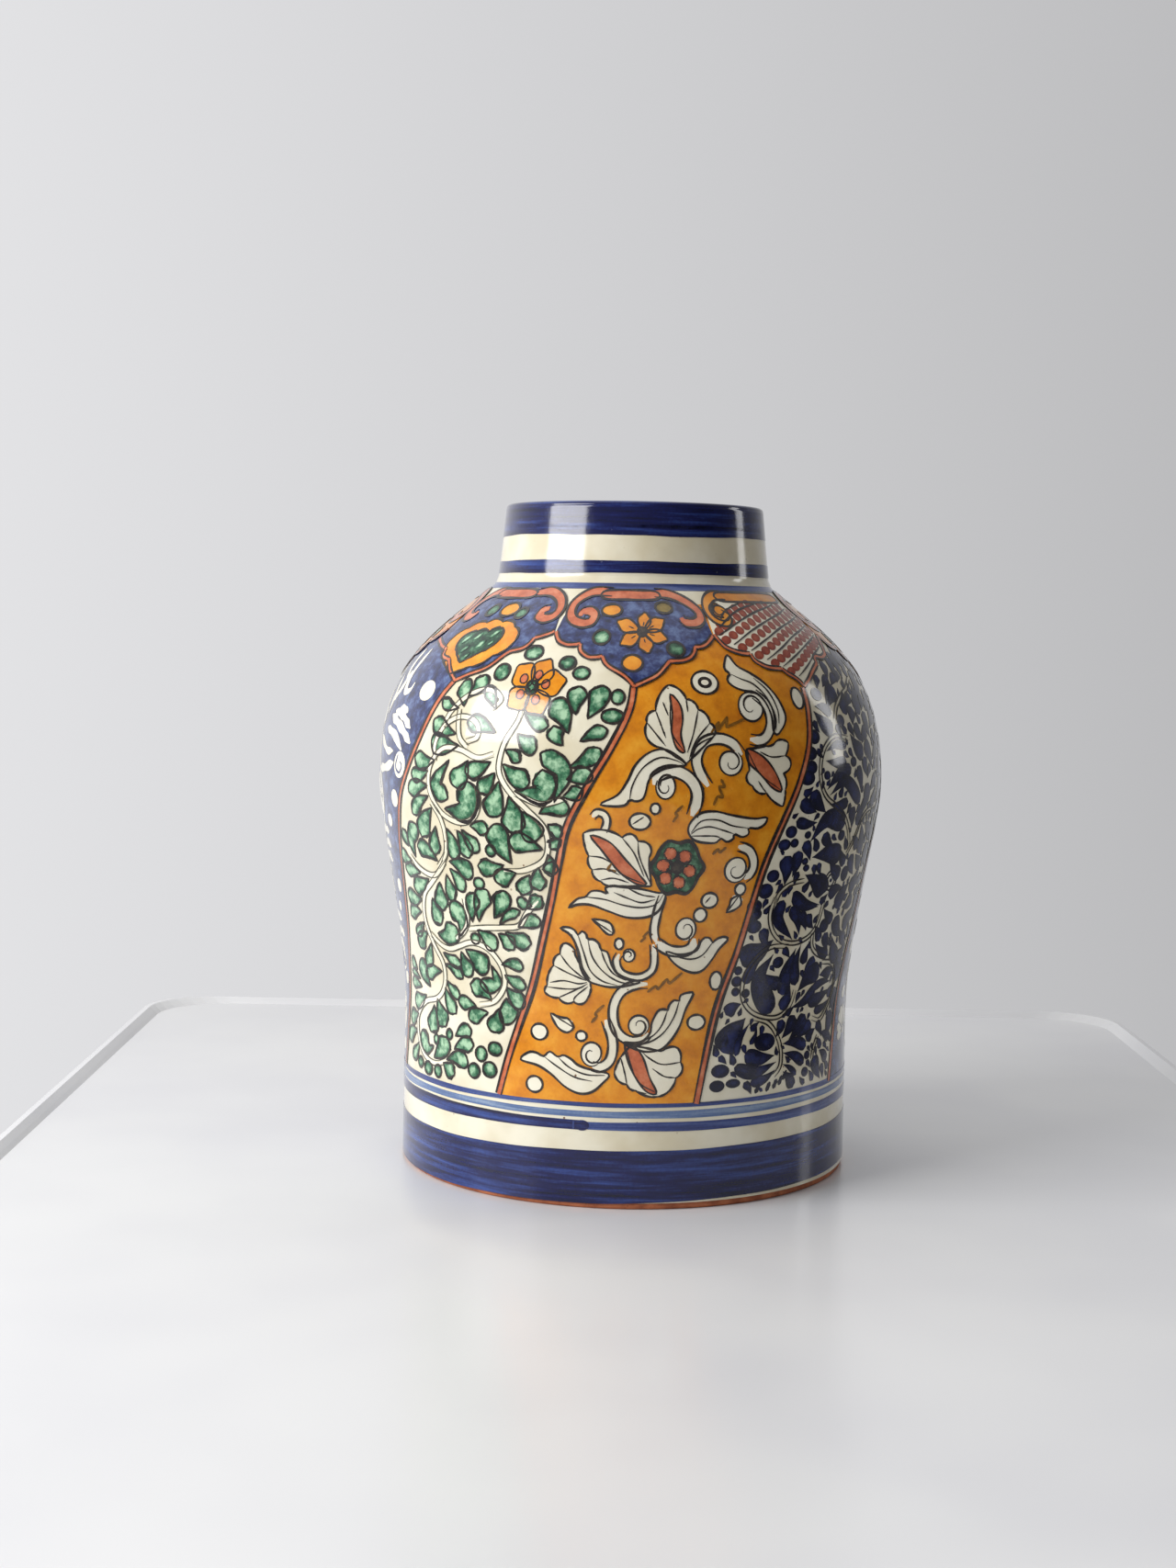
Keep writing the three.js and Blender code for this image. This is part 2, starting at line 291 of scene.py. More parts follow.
def bare_clay(name, light, dark):
    """Fired earthenware, matt and gritty, with turning lines."""
    f = Finish(name)
    body = f.mix(f.noise(8, 4).over(0.3, 0.7), paint(*light), paint(*dark))
    gritty = f.mix(f.spots(1.6, 0.25) * 0.6, body, paint(92, 54, 38))
    lines = f.noise(0.7, 2, 0.5, (0.03, 0.03, 1.0))
    return f.finish(gritty, f.noise(3, 2) * 0.15 + 0.75, lines + f.noise(0.5, 2), 0.12)


# ---------------------------------------------------------------- geometry nodes


class Tree:
    """A geometry nodes tree with named inputs."""

    def __init__(self, name, inputs):
        self.tree = bpy.data.node_groups.new(name, "GeometryNodeTree")
        self.tree.interface.new_socket("Geometry", in_out="INPUT", socket_type="NodeSocketGeometry")
        self.tree.interface.new_socket("Geometry", in_out="OUTPUT", socket_type="NodeSocketGeometry")
        for label, kind in inputs:
            self.tree.interface.new_socket(label, in_out="INPUT", socket_type="NodeSocket" + kind)
        self.inputs = self.tree.nodes.new("NodeGroupInput").outputs
        self.output = self.tree.nodes.new("NodeGroupOutput").inputs["Geometry"]

    def node(self, kind, settings=None, *values, **named):
        made = self.tree.nodes.new(kind)
        for key, value in (settings or {}).items():
            setattr(made, key, value)
        for key, value in [*enumerate(values), *named.items()]:
            socket = made.inputs[key.replace("_", " ") if isinstance(key, str) else key]
            if isinstance(value, bpy.types.NodeSocket):
                self.tree.links.new(value, socket)
            elif value is not None:
                socket.default_value = value
        return made.outputs

    def math(self, operation, *values):
        return self.node("ShaderNodeMath", {"operation": operation}, *values)[0]

    def vector(self, operation, *values):
        return self.node("ShaderNodeVectorMath", {"operation": operation}, *values)[0]

    def end(self, geometry):
        """Realizes what is left of the instances, sets the material and ends the tree."""
        real = self.node("GeometryNodeRealizeInstances", None, geometry)[0]
        done = self.node("GeometryNodeSetMaterial", None, real, None, self.inputs["Material"])[0]
        self.tree.links.new(done, self.output)
        return self.tree


def on_the_wheel(tree, turn, radius, height):
    """The point at a turn, in radians from the front, a radius and a height."""
    across = tree.math("MULTIPLY", tree.math("SINE", turn), radius)
    along = tree.math("MULTIPLY", tree.math("COSINE", turn), tree.math("MULTIPLY", radius, -1.0))
    return tree.node("ShaderNodeCombineXYZ", None, across, along, height)[0]


def turning_tree():
    """Turns a section, given as a row of points at (radius, 0, height), about the jar's axis."""
    t = Tree("Turn on the wheel", [("Section", "Object"), ("Facets", "Int"), ("Material", "Material")])
    section = t.node("GeometryNodeObjectInfo", None, t.inputs["Section"])["Geometry"]
    rows = t.node("GeometryNodeAttributeDomainSize", {"component": "MESH"}, section)["Point Count"]
    columns = t.math("ADD", t.inputs["Facets"], 1.0)
    grid = t.node("GeometryNodeMeshGrid", None, 1.0, 1.0, columns, rows)
    place = t.node("ShaderNodeSeparateXYZ", None, grid["UV Map"])
    row = t.math("ROUND", t.math("MULTIPLY", place[1], t.math("SUBTRACT", rows, 1.0)))
    corner = t.node("GeometryNodeSampleIndex", {"data_type": "FLOAT_VECTOR"}, section,
                    t.node("GeometryNodeInputPosition")[0], row)[0]
    corner = t.node("ShaderNodeSeparateXYZ", None, corner)
    turn = t.math("MULTIPLY", place[0], 2 * math.pi)
    points = on_the_wheel(t, turn, corner[0], corner[2])
    shaped = t.node("GeometryNodeSetPosition", None, grid["Mesh"], None, points)[0]
    closed = t.node("GeometryNodeMergeByDistance", None, shaped, None, Distance=2e-7)[0]
    return t.end(t.node("GeometryNodeSetShadeSmooth", None, closed)[0])


def wrapping_tree():
    """Repeats a flat painted sheet round the jar, wraps it onto the wall and gives it a thickness."""
    t = Tree("Wrap on the wall", [("Wall", "Object"), ("Copies", "Int"), ("Copy Turn", "Float"),
                                  ("Reach", "Float"), ("Lift", "Float"), ("Thickness", "Float"),
                                  ("Material", "Material")])
    copy_step = t.node("ShaderNodeCombineXYZ", None, t.inputs["Copy Turn"])[0]
    places = t.node("GeometryNodeMeshLine", None, t.inputs["Copies"], Offset=copy_step)[0]
    copies = t.node("GeometryNodeInstanceOnPoints", None, places, Instance=t.inputs["Geometry"])[0]
    flat = t.node("GeometryNodeRealizeInstances", None, copies)[0]
    place = t.node("ShaderNodeSeparateXYZ", None, t.node("GeometryNodeInputPosition")[0])
    turn = t.math("RADIANS", place[0])
    height = t.math("MULTIPLY", place[1], MM)
    outside = on_the_wheel(t, turn, t.inputs["Reach"], height)
    axis = on_the_wheel(t, turn, 0.0, height)
    wall = t.node("GeometryNodeObjectInfo", None, t.inputs["Wall"])["Geometry"]
    hit = t.node("GeometryNodeRaycast", {"data_type": "FLOAT_VECTOR"}, wall,
                 t.node("GeometryNodeInputNormal")[0],
                 outside, t.vector("SUBTRACT", axis, outside), Ray_Length=1.0)
    way = t.vector("NORMALIZE", hit["Attribute"])
    under = t.math("SUBTRACT", t.math("ADD", t.inputs["Lift"], place[2]), t.inputs["Thickness"])
    rise = t.node("ShaderNodeVectorMath", {"operation": "SCALE"}, way,
                  Scale=t.math("MULTIPLY", under, MM))[0]
    t.node("GeometryNodeCaptureAttribute", None, flat)
    kept = t.tree.nodes[-1]
    kept.capture_items.new("VECTOR", "Way")
    t.tree.links.new(way, kept.inputs["Way"])
    laid = t.node("GeometryNodeSetPosition", None, kept.outputs["Geometry"], None,
                  t.vector("ADD", hit["Hit Position"], rise))[0]
    laid = t.node("GeometryNodeSetShadeSmooth", None, laid)[0]
    thick = t.node("GeometryNodeExtrudeMesh", {"mode": "FACES"}, laid, None, kept.outputs["Way"],
                   t.math("MULTIPLY", t.inputs["Thickness"], MM), False)
    sides = t.node("GeometryNodeSetShadeSmooth", None, thick["Mesh"], thick["Side"], Shade_Smooth=False)[0]
    back = t.node("GeometryNodeFlipFaces", None, laid)[0]
    joined = t.node("GeometryNodeJoinGeometry")
    join_node = t.tree.nodes[-1]
    t.tree.links.new(back, join_node.inputs[0])
    t.tree.links.new(sides, join_node.inputs[0])
    return t.end(t.node("GeometryNodeMergeByDistance", None, joined[0], None, Distance=1e-7)[0])


def run_tree(name, tree, values, mesh=None):
    """Runs a tree on a mesh and keeps the result as a plain mesh object."""
    carrier = bpy.data.objects.new(name + "_plan", mesh or bpy.data.meshes.new(name + "_plan"))
    bpy.context.scene.collection.objects.link(carrier)
    modifier = carrier.modifiers.new("Build", "NODES")
    modifier.node_group = tree
    for item in tree.interface.items_tree:
        if item.in_out == "INPUT" and item.name in values:
            modifier[item.identifier] = values[item.name]
    bpy.context.view_layer.update()
    evaluated = carrier.evaluated_get(bpy.context.evaluated_depsgraph_get())
    made = bpy.data.meshes.new_from_object(evaluated)
    made.name = name
    made.set_sharp_from_angle(angle=math.radians(CRISP_EDGE))
    bpy.data.objects.remove(carrier)
    piece = bpy.data.objects.new(name, made)
    bpy.context.scene.collection.objects.link(piece)
    return piece


def settle(piece, slot, *nodes):
    """Rides the piece on the jar's body and hides the nodes it stands for. Its slot is not used."""
    if not piece.data.polygons:
        raise RuntimeError(piece.name + " has no faces")
    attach(piece, BODY)
    if nodes:
        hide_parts(*nodes)
    return piece


TREES = {}


def turned_piece(name, section, finish, facets):
    """A piece turned about the axis from its section, given as (radius, height) in millimetres."""
    line = bpy.data.meshes.new(name + "_section")
    edges = [(i, i + 1) for i in range(len(section) - 1)]
    line.from_pydata([(r * MM, 0, z * MM) for r, z in section], edges, [])
    holder = bpy.data.objects.new(name + "_section", line)
    bpy.context.scene.collection.objects.link(holder)
    tree = TREES.get("turn") or TREES.setdefault("turn", turning_tree())
    piece = run_tree(name, tree, {"Section": holder, "Facets": facets, "Material": finish})
    bpy.data.objects.remove(holder)
    return piece


def wall_form():
    """The finely turned outside that painted pieces are wrapped onto."""
    if "wall" not in TREES:
        section = [(WALL.radius(z), z) for z in np.arange(-2, WALL.top + 3, 1.0)]
        TREES["wall"] = turned_piece("wall_form", section, None, 360)
    return TREES["wall"]


# ---------------------------------------------------------------- flat painting


class Sheet:
    """Painted shapes laid out flat. Later shapes lie a hair over earlier ones."""

    HAIR = 0.003
    HAIRS = 14

    def __init__(self, seed=1):
        self.points, self.faces, self.tones = [], [], []
        self.shapes = 0
        self.random = random.Random(seed)

    def add(self, points, faces, tones):
        start = len(self.points)
        lift = self.HAIR * (self.shapes % self.HAIRS)
        self.shapes += 1
        self.points += [(turn, height, lift) for turn, height in points]
        self.tones += list(tones)
        for face in faces:
            corners = [points[i] for i in face]
            area = sum(a[0] * b[1] - b[0] * a[1] for a, b in zip(corners, corners[1:] + corners[:1]))
            if abs(area) > 1e-7:
                self.faces.append([start + i for i in (face if area > 0 else reversed(face))])

    def rows(self, rows, tones, closed=False):
        """Joins rows of points, all of one length, by quads."""
        width = len(rows[0])
        points = [tuple(p) for row in rows for p in row]
        count = len(rows)
        faces = []
        for j in range(count if closed else count - 1):
            k = (j + 1) % count
            faces += [(j * width + i, j * width + i + 1, k * width + i + 1, k * width + i)
                      for i in range(width - 1)]
        self.add(points, faces, [t for row in tones for t in row])

    def spine(self, path, closed=False, step=1.3):
        """A smooth path with even steps in millimetres, and the sideways direction at each."""
        curve = through(path, closed=closed)
        if closed:
            curve = np.vstack([curve, curve[:1]])
        scale = np.array([WALL.millimetres_per_degree(h) for h in curve[:, 1]])
        steps = np.diff(curve, axis=0)
        lengths = np.hypot(steps[:, 0] * (scale[1:] + scale[:-1]) / 2, steps[:, 1])
        run = np.concatenate([[0], np.cumsum(lengths)])
        count = max(3, int(math.ceil(run[-1] / step)))
        at = np.linspace(0, run[-1], count + 1)
        if closed:
            at = at[:-1]
        turns, heights = np.interp(at, run, curve[:, 0]), np.interp(at, run, curve[:, 1])
        scale = np.interp(at, run, scale)
        if closed:
            dx, dy = np.roll(turns, -1) - np.roll(turns, 1), np.roll(heights, -1) - np.roll(heights, 1)
        else:
            dx, dy = np.gradient(turns), np.gradient(heights)
        dx = dx * scale
        size = np.maximum(np.hypot(dx, dy), 1e-9)
        return turns, heights, scale, -dy / size, dx / size, at / max(run[-1], 1e-9)

    def stroke(self, path, width, ends=0.35, closed=False, across=2, waver=0.18):
        """A brush stroke along a path. Its ends taper, and its width wavers."""
        turns, heights, scale, sx, sy, share = self.spine(path, closed)
        phase, speed = self.random.uniform(0, 6.28), self.random.uniform(9, 17)
        rows, tones = [], []
        for x, y, k, a, b, s in zip(turns, heights, scale, sx, sy, share):
            if closed:
                half = width / 2 * (1 + waver * math.sin(phase + round(speed) * 2 * math.pi * s / 3))
            else:
                taper = min(1.0, ends + (1 - ends) * min(s, 1 - s) * 6)
                half = width / 2 * taper * (1 + waver * math.sin(phase + speed * s))
            row = [-1 + 2 * i / (across - 1) for i in range(across)]
            rows.append([(x + a * half * c / k, y + b * half * c) for c in row])
            tones.append([1 - abs(c) for c in row])
        self.rows(rows, tones, closed)

    def leaf(self, tip, end, width, bend=None):
        """A leaf: pointed at its tip and round at its end, darker towards the tip."""
        path = [tip, bend, end] if bend else [tip, end]
        if not bend:
            k = WALL.millimetres_per_degree(tip[1])
            sway = self.random.choice((-1, 1)) * self.random.uniform(0.04, 0.11)
            path.insert(1, ((tip[0] + end[0]) / 2 - (end[1] - tip[1]) * sway / k,
                            (tip[1] + end[1]) / 2 + (end[0] - tip[0]) * sway * k))
        turns, heights, scale, sx, sy, share = self.spine(path, step=1.15)
        rows, tones = [], []
        for x, y, k, a, b, s in zip(turns, heights, scale, sx, sy, share):
            half = width / 2 * max(leaf_profile(s), 0.02)
            rows.append([(x + a * half * c / k, y + b * half * c) for c in (-1, -0.6, 0, 0.6, 1)])
            tones.append([t * (0.35 + 0.65 * min(1, s * 1.6)) for t in (0, 0.6, 1, 0.6, 0)])
        self.rows(rows, tones)
        return [r[0] for r in rows] + [r[-1] for r in reversed(rows)]

    def oval(self, turn, height, half_turn, half_height, lean=0.0, sides=18):
        """A round or oval dab, with its rim returned."""
        k = WALL.millimetres_per_degree(height)
        rings = []
        for share in (1, 0.62, 0.28):
            ring = []
            for i in range(sides):
                a = 2 * math.pi * i / sides
                x, y = math.cos(a) * half_turn * k * share, math.sin(a) * half_height * share
                ring.append((turn + (x * math.cos(lean) - y * math.sin(lean)) / k,
                             height + x * math.sin(lean) + y * math.cos(lean)))
            rings.append(ring)
        points = [p for ring in rings for p in ring] + [(turn, height)]
        faces = []
        for r in range(2):
            faces += [(r * sides + i, r * sides + (i + 1) % sides, (r + 1) * sides + (i + 1) % sides,
                       (r + 1) * sides + i) for i in range(sides)]
        faces += [(2 * sides + i, 2 * sides + (i + 1) % sides, 3 * sides) for i in range(sides)]
        self.add(points, faces, [0] * sides + [0.5] * sides + [0.9] * sides + [1])
        return rings[0]

    def area(self, outline, tone=0.5, smooth=True, step=2.6):
        """A filled shape inside an outline."""
        edge = through(outline, closed=True, steps=4) if smooth else np.array(outline, float)
        middle = float(edge[:, 1].mean())
        k = WALL.millimetres_per_degree(middle)
        flat = edge * (k, 1)
        kept = [flat[0]]
        for p in flat[1:]:
            if np.linalg.norm(p - kept[-1]) > 0.6:
                kept.append(p)
        flat = np.array(kept)
        low, high = flat.min(0), flat.max(0)
        inner = [(x + (step / 2 if j % 2 else 0), y)
                 for j, y in enumerate(np.arange(low[1] + step / 2, high[1], step))
                 for x in np.arange(low[0] + step / 2, high[0], step)]
        inner = np.array([p for p in inner if inside(p, flat) and gap(p, flat) > step * 0.35]).reshape(-1, 2)
        points = [Vector(p) for p in np.vstack([flat, inner])]
        count = len(flat)
        edges = [(i, (i + 1) % count) for i in range(count)]
        vertices, _, faces, *_ = delaunay_2d_cdt(points, edges, [], 1, 1e-4)
        tones = [tone * min(1.0, 0.25 + gap(v, flat) / 5) for v in vertices]
        self.add([(v.x / k, v.y) for v in vertices], faces, tones)
        return [tuple(p) for p in edge]

    def object(self, name, finish, lift, thickness=0.16, copies=2, copy_turn=HALF_TURN):
        """Wraps the sheet onto the wall as a plain mesh object."""
        flat = bpy.data.meshes.new(name + "_flat")
        flat.from_pydata(self.points, [], self.faces)
        tone = flat.attributes.new("tone", "FLOAT", "POINT")
        tone.data.foreach_set("value", np.array(self.tones, np.float32))
        tree = TREES.get("wrap") or TREES.setdefault("wrap", wrapping_tree())
        values = {"Wall": wall_form(), "Copies": copies, "Copy Turn": copy_turn, "Reach": 0.2,
                  "Lift": lift, "Thickness": thickness, "Material": finish}
        return run_tree(name, tree, values, flat)


def leaf_profile(share):
    """Half width of a leaf along its length, from its tip, as a share of its widest."""
    return 2.49 * share ** 1.15 * max(0.0, 1 - share) ** 0.42 if share < 1 else 0.0


def inside(point, outline):
    """Whether a point lies inside a closed outline."""
    x, y = point
    a, b = outline, np.roll(outline, -1, 0)
    crosses = (a[:, 1] > y) != (b[:, 1] > y)
    if not crosses.any():
        return False
    a, b = a[crosses], b[crosses]
    return int((x < (b[:, 0] - a[:, 0]) * (y - a[:, 1]) / (b[:, 1] - a[:, 1]) + a[:, 0]).sum()) % 2 == 1


def gap(point, outline):
    """Distance from a point to the corners of an outline."""
    return float(np.hypot(outline[:, 0] - point[0], outline[:, 1] - point[1]).min())


# ---------------------------------------------------------------- settings


class JarBodySettings(bpy.types.PropertyGroup):
    """Sizes of the clay and the glaze."""

    glaze: bpy.props.FloatProperty(
        name="Glaze", description="Thickness of the glaze", default=0.45, min=0.1, max=0.6)
    facets: bpy.props.IntProperty(
        name="Facets", description="Steps round the turned pieces", default=180, min=60, max=240)
    ridges: bpy.props.FloatProperty(
        name="Turning ridges", description="Height of the ridges left by turning, in mm", default=0.12, min=0)


class JarPaintSettings(bpy.types.PropertyGroup):
    """Widths of the brush strokes."""

    outline: bpy.props.FloatProperty(
        name="Outline", description="Width of a dark outline, in mm", default=1.0, min=0.2)
    vein: bpy.props.FloatProperty(
        name="Vein", description="Width of a vein or a stem line, in mm", default=0.65, min=0.2)
    rib: bpy.props.FloatProperty(
        name="Rib", description="Width of a coral rib between its lines, in mm", default=2.7, min=1)


class JarStageSettings(bpy.types.PropertyGroup):
    """The table, the lamps and the camera."""

    window: bpy.props.FloatProperty(
        name="Window light", description="Power of the soft window", default=20.0, min=0, unit="POWER")
    ambient: bpy.props.FloatProperty(
        name="Ambient", description="Strength of the light from all round", default=0.96, min=0)
    lens: bpy.props.FloatProperty(
        name="Lens", description="Focal length", default=50.0, min=10, unit="CAMERA")


def body_settings():
    return bpy.context.scene.talavera_body


def paint_settings():
    return bpy.context.scene.talavera_paint


# ---------------------------------------------------------------- finishes


FINISHES = {}

CLAYS = {
    "terracotta": ((196, 118, 78), (150, 82, 52)),
    "slip": ((206, 140, 100), (165, 100, 68)),
}
GLAZES = {
    "tin_glaze": ((243, 237, 215), (224, 213, 182)),
    "lining": ((232, 222, 196), (205, 188, 152)),
    "white": ((252, 247, 228), (240, 232, 206)),
}

# Each paint's colour where it is thick, as it runs, and where it is thin. Then the size of its patches in
# millimetres, their contrast, and how far the edge of a stroke is darker than its middle.
PAINTS = {
    "cobalt_band": ((4, 6, 34), (15, 22, 80), (48, 74, 146), 2.6, 2.1, 0.1),
    "blue_stripe": ((24, 32, 84), (48, 66, 128), (92, 112, 165), 2.2, 1.6, 0.1),
    "pale_stripe": ((62, 84, 132), (100, 124, 166), (160, 178, 198), 1.6, 1.5, 0.1),
    "blue_wash": ((20, 24, 60), (46, 58, 108), (92, 112, 156), 5, 2.6, 0.1),
    "cobalt_leaf": ((5, 6, 22), (12, 16, 50), (34, 44, 96), 6, 1.5, 0.45),
    "green": ((12, 44, 30), (68, 124, 90), (172, 210, 172), 4, 2.3, 0.8),
    "orange": ((194, 106, 10), (230, 144, 20), (248, 176, 50), 11, 1.5, 0.06),
    "coral": ((160, 72, 40), (204, 108, 68), (228, 148, 108), 6, 1.5, 0.25),
    "line": ((22, 20, 24), (44, 38, 36), (88, 76, 62), 3, 1.4, 0.1),
    "thin_line": ((52, 50, 42), (84, 82, 68), (130, 126, 104), 3, 1.6, 0.1),
    "brown_line": ((92, 60, 14), (130, 88, 24), (172, 116, 36), 3, 1.4, 0.1),
    "red_brown": ((112, 36, 16), (150, 58, 32), (180, 92, 60), 3, 1.4, 0.3),
    "olive": ((84, 74, 26), (128, 108, 44), (160, 136, 66), 4, 1.5, 0.3),
    "dark_green": ((12, 30, 24), (34, 78, 54), (110, 160, 122), 4, 2.0, 0.5),
}

# These paints are laid on while the jar turns, so their patches are drawn out round it.
STREAKED = ("cobalt_band", "blue_stripe", "pale_stripe")
STREAK = (0.05, 0.05, 1.0)


def make_finish(name):
    """The finish of that name, made once."""
    if name not in FINISHES:
        if name in PAINTS:
            FINISHES[name] = glazed_paint(name, *PAINTS[name])
        elif name in GLAZES:
            FINISHES[name] = tin_glaze(name, *GLAZES[name])
        else:
            FINISHES[name] = bare_clay(name, *CLAYS[name])
    return FINISHES[name]


# ---------------------------------------------------------------- clay and glaze


def rounded(corner, radius, start, end, steps=5):
    """Points round a quarter turn: start and end are its angles in degrees."""
    angles = np.radians(np.linspace(start, end, steps))
    return [(corner[0] + radius * math.cos(a), corner[1] + radius * math.sin(a)) for a in angles]


LIP_ROUND = 1.9


def over_the_lip(outer, inner, proud=0.0, end=180, steps=7):
    """Points over the lip from its outer to its inner side, that far proud of it."""
    low = WALL.top - LIP_ROUND
    return (rounded((outer - LIP_ROUND, low), LIP_ROUND + proud, 0, 90, 7)
            + rounded((inner + LIP_ROUND, low), LIP_ROUND + proud, 90, end, steps))


def wall_total():
    """From the glazed outside to the glazed inside, in millimetres."""
    top = node_corners("inner_glaze")[-1]
    inner = min(r for r, z in node_corners("inner_glaze") if z > top[1] - 0.5)
    return WALL.radius(top[1]) - inner


def clay_foot_section():
    """The bottom section of clay, from the middle underneath to the middle of the floor."""
    corners = node_corners("clay_base")
    land = sorted(r for r, z in corners if z < 0.01)
    middle = [z for r, z in corners if r < 0.01]
    under, floor = middle[0], middle[-1]
    top = corners[-1][1]
    depth = WALL.radius(top) - max(r for r, z in corners if z > top - 0.5)
    inner_depth = WALL.radius(top) - min(r for r, z in corners if z > top - 0.5)
    ridge = body_settings().ridges
    points = [(r, under + ridge * math.sin(r * 0.9)) for r in np.linspace(0, land[0] - under - 1, 60)]
    points += [(land[0] - 0.6, 0.5), (land[0] + 0.6, 0.06)]
    points += [(r, 0.03 + 0.03 * math.sin(r * 3)) for r in np.linspace(land[0] + 1.5, land[1] - 1, 8)]
    points += rounded((land[1] - 0.2, 1.3), 1.3, -90, -10)
    heights = np.arange(2.2, top, 1.6)
    points += [(WALL.radius(z) - depth, z) for z in heights] + [(WALL.radius(top) - depth, top)]
    points += [(WALL.radius(z) - inner_depth, z) for z in [top, *heights[::-1]] if z > floor + 4]
    points += rounded((WALL.radius(floor) - inner_depth - 4, floor + 4), 4, 0, -90)
    return points + [(40, floor), (0, floor)]


def glaze_section():
    """The outer glaze, up the outside, over the lip, and back under itself to the foot."""
    thick = body_settings().glaze
    total = wall_total()
    top = WALL.top
    heights = list(np.arange(WALL.foot + 0.8, top - 2.2, 1.5)) + [top - 2.0]
    outside = rounded((WALL.radius(WALL.foot) - thick * 0.5, WALL.foot + 0.5), thick * 0.5, -100, 0, 4)
    outside += [(WALL.radius(z), z) for z in heights]
    outer, inner = WALL.radius(top), WALL.radius(top) - total
    under = [WALL.point(z, thick) for z in heights[::-4]]
    back = over_the_lip(outer, inner, -thick)[::-1]
    return outside + over_the_lip(outer, inner) + back + under + outside[:1]


def lining_section():
    """The inner glaze, over the floor and up to the lip."""
    corners = node_corners("inner_glaze")
    low, floor = [z for r, z in corners if r < 0.01][0], [z for r, z in corners if r < 0.01][-1]
    total = wall_total()
    thick = floor - low
    top = corners[-1][1]
    heights = np.arange(floor + 6, top - 1, 2.0)
    outer = [(0, low), (60, low)] + rounded((WALL.radius(low) - total + thick - 4, low + 4), 4, -90, 0)
    outer += [(WALL.point(z, total - thick)) for z in heights] + [(WALL.radius(top) - total + thick, top)]
    inner = [(WALL.radius(top) - total, top)] + [WALL.point(z, total) for z in heights[::-1]]
    inner += rounded((WALL.radius(floor) - total - 5, floor + 5), 5, 0, -90, 7)
    return outer + inner + [(60, floor), (30, floor), (0, floor)]


def rim_section(low, proud):
    """The blue rim, from a height on the neck over the lip to its inner edge."""
    thick = 0.1
    total = wall_total()
    top = WALL.top
    heights = list(np.arange(low, top - 2.2, 1.5)) + [top - 2.0]
    outer, inner = WALL.radius(top), WALL.radius(top) - total
    front = [WALL.point(z, -proud) for z in heights] + over_the_lip(outer, inner, proud, 160, 5)
    back = over_the_lip(outer, inner, proud - thick, 160, 5)[::-1]
    back += [WALL.point(z, thick - proud) for z in heights[::-1]]
    return front + back + front[:1]


# ---------------------------------------------------------------- bands and ribs


def wavering(turn, size, phase):
    """A slow waver that closes on itself after a full turn."""
    a = math.radians(turn)
    slow, quick = math.sin(3 * a + phase), math.sin(7 * a + 2.1 * phase)
    return size * (0.6 * slow + 0.3 * quick + 0.15 * math.sin(17 * a))


def band(sheet, low, high, waver=0.35, start=-180, end=180, tilt=0.0, thin=0.0):
    """A painted band between two heights. It may tilt a little, and thin out towards its ends."""
    phase = sheet.random.uniform(0, 6)
    steps = max(8, int((end - start) / 2))
    across = max(2, int((high - low) / 2.2) + 1)
    rows, tones = [], []
    for i in range(steps + 1):
        turn = start + (end - start) * i / steps
        lean = tilt * math.sin(math.radians(turn))
        close = min(1, (1 - thin) + thin * 8 * min(i, steps - i) / steps)
        middle, half = (low + high) / 2 + lean, (high - low) / 2 * close
        bottom = middle - half + wavering(turn, waver, phase)
        top = middle + half + wavering(turn, waver, phase + 2)
        rows.append([(turn, bottom + (top - bottom) * j / across) for j in range(across + 1)])
        tones.append([min(j, across - j) / across * 2 for j in range(across + 1)])
    sheet.rows(rows, tones)


RIB_PATHS = [
    [(-46.5, 226), (-50, 216), (-54, 200), (-58, 186), (-62, 172), (-65, 155), (-66.5, 140), (-68.5, 115),
     (-72, 90), (-75, 60), (-77, 45)],
    [(-0.5, 226), (-1.5, 215), (-5, 200), (-10, 182), (-14, 166), (-16, 150), (-18, 133), (-20.5, 115),
     (-23.5, 95), (-27, 78), (-30, 62), (-32.5, 46)],
    [(42.5, 225), (42, 215), (40.5, 200), (37.5, 185), (33.5, 168), (30, 150), (27.5, 130), (25, 110),
     (21.5, 90), (18.5, 65), (16.5, 46)],
]
RIB_PATHS.append([(x + 45.5, y) for x, y in RIB_PATHS[2]])


def rib_turn(index, height):
    """Where a rib stands at a height. Ribs -1 and 4 are the neighbours half a turn away."""
    path = RIB_PATHS[index % 4]
    offset = (index // 4) * HALF_TURN
    points = through(path)[::-1]
    return float(np.interp(height, points[:, 1], points[:, 0])) + offset


def beside(sheet, path, offset):
    """A path that runs beside another, that many millimetres to its left."""
    turns, heights, scale, sx, sy, _ = sheet.spine(path, step=3)
    return [(x + a * offset / k, y + b * offset) for x, y, k, a, b in zip(turns, heights, scale, sx, sy)]


def panel_ground(sheet, left, low, high):
    """The coloured ground between a rib and the next."""
    rows, tones = [], []
    columns = 22
    for height in np.linspace(low, high, int((high - low) / 2.6)):
        a, b = rib_turn(left, height), rib_turn(left + 1, height)
        rows.append([(a + (b - a) * i / columns, height) for i in range(columns + 1)])
        tones.append([0.5] * (columns + 1))
    sheet.rows(rows, tones)


# ---------------------------------------------------------------- pattern parts


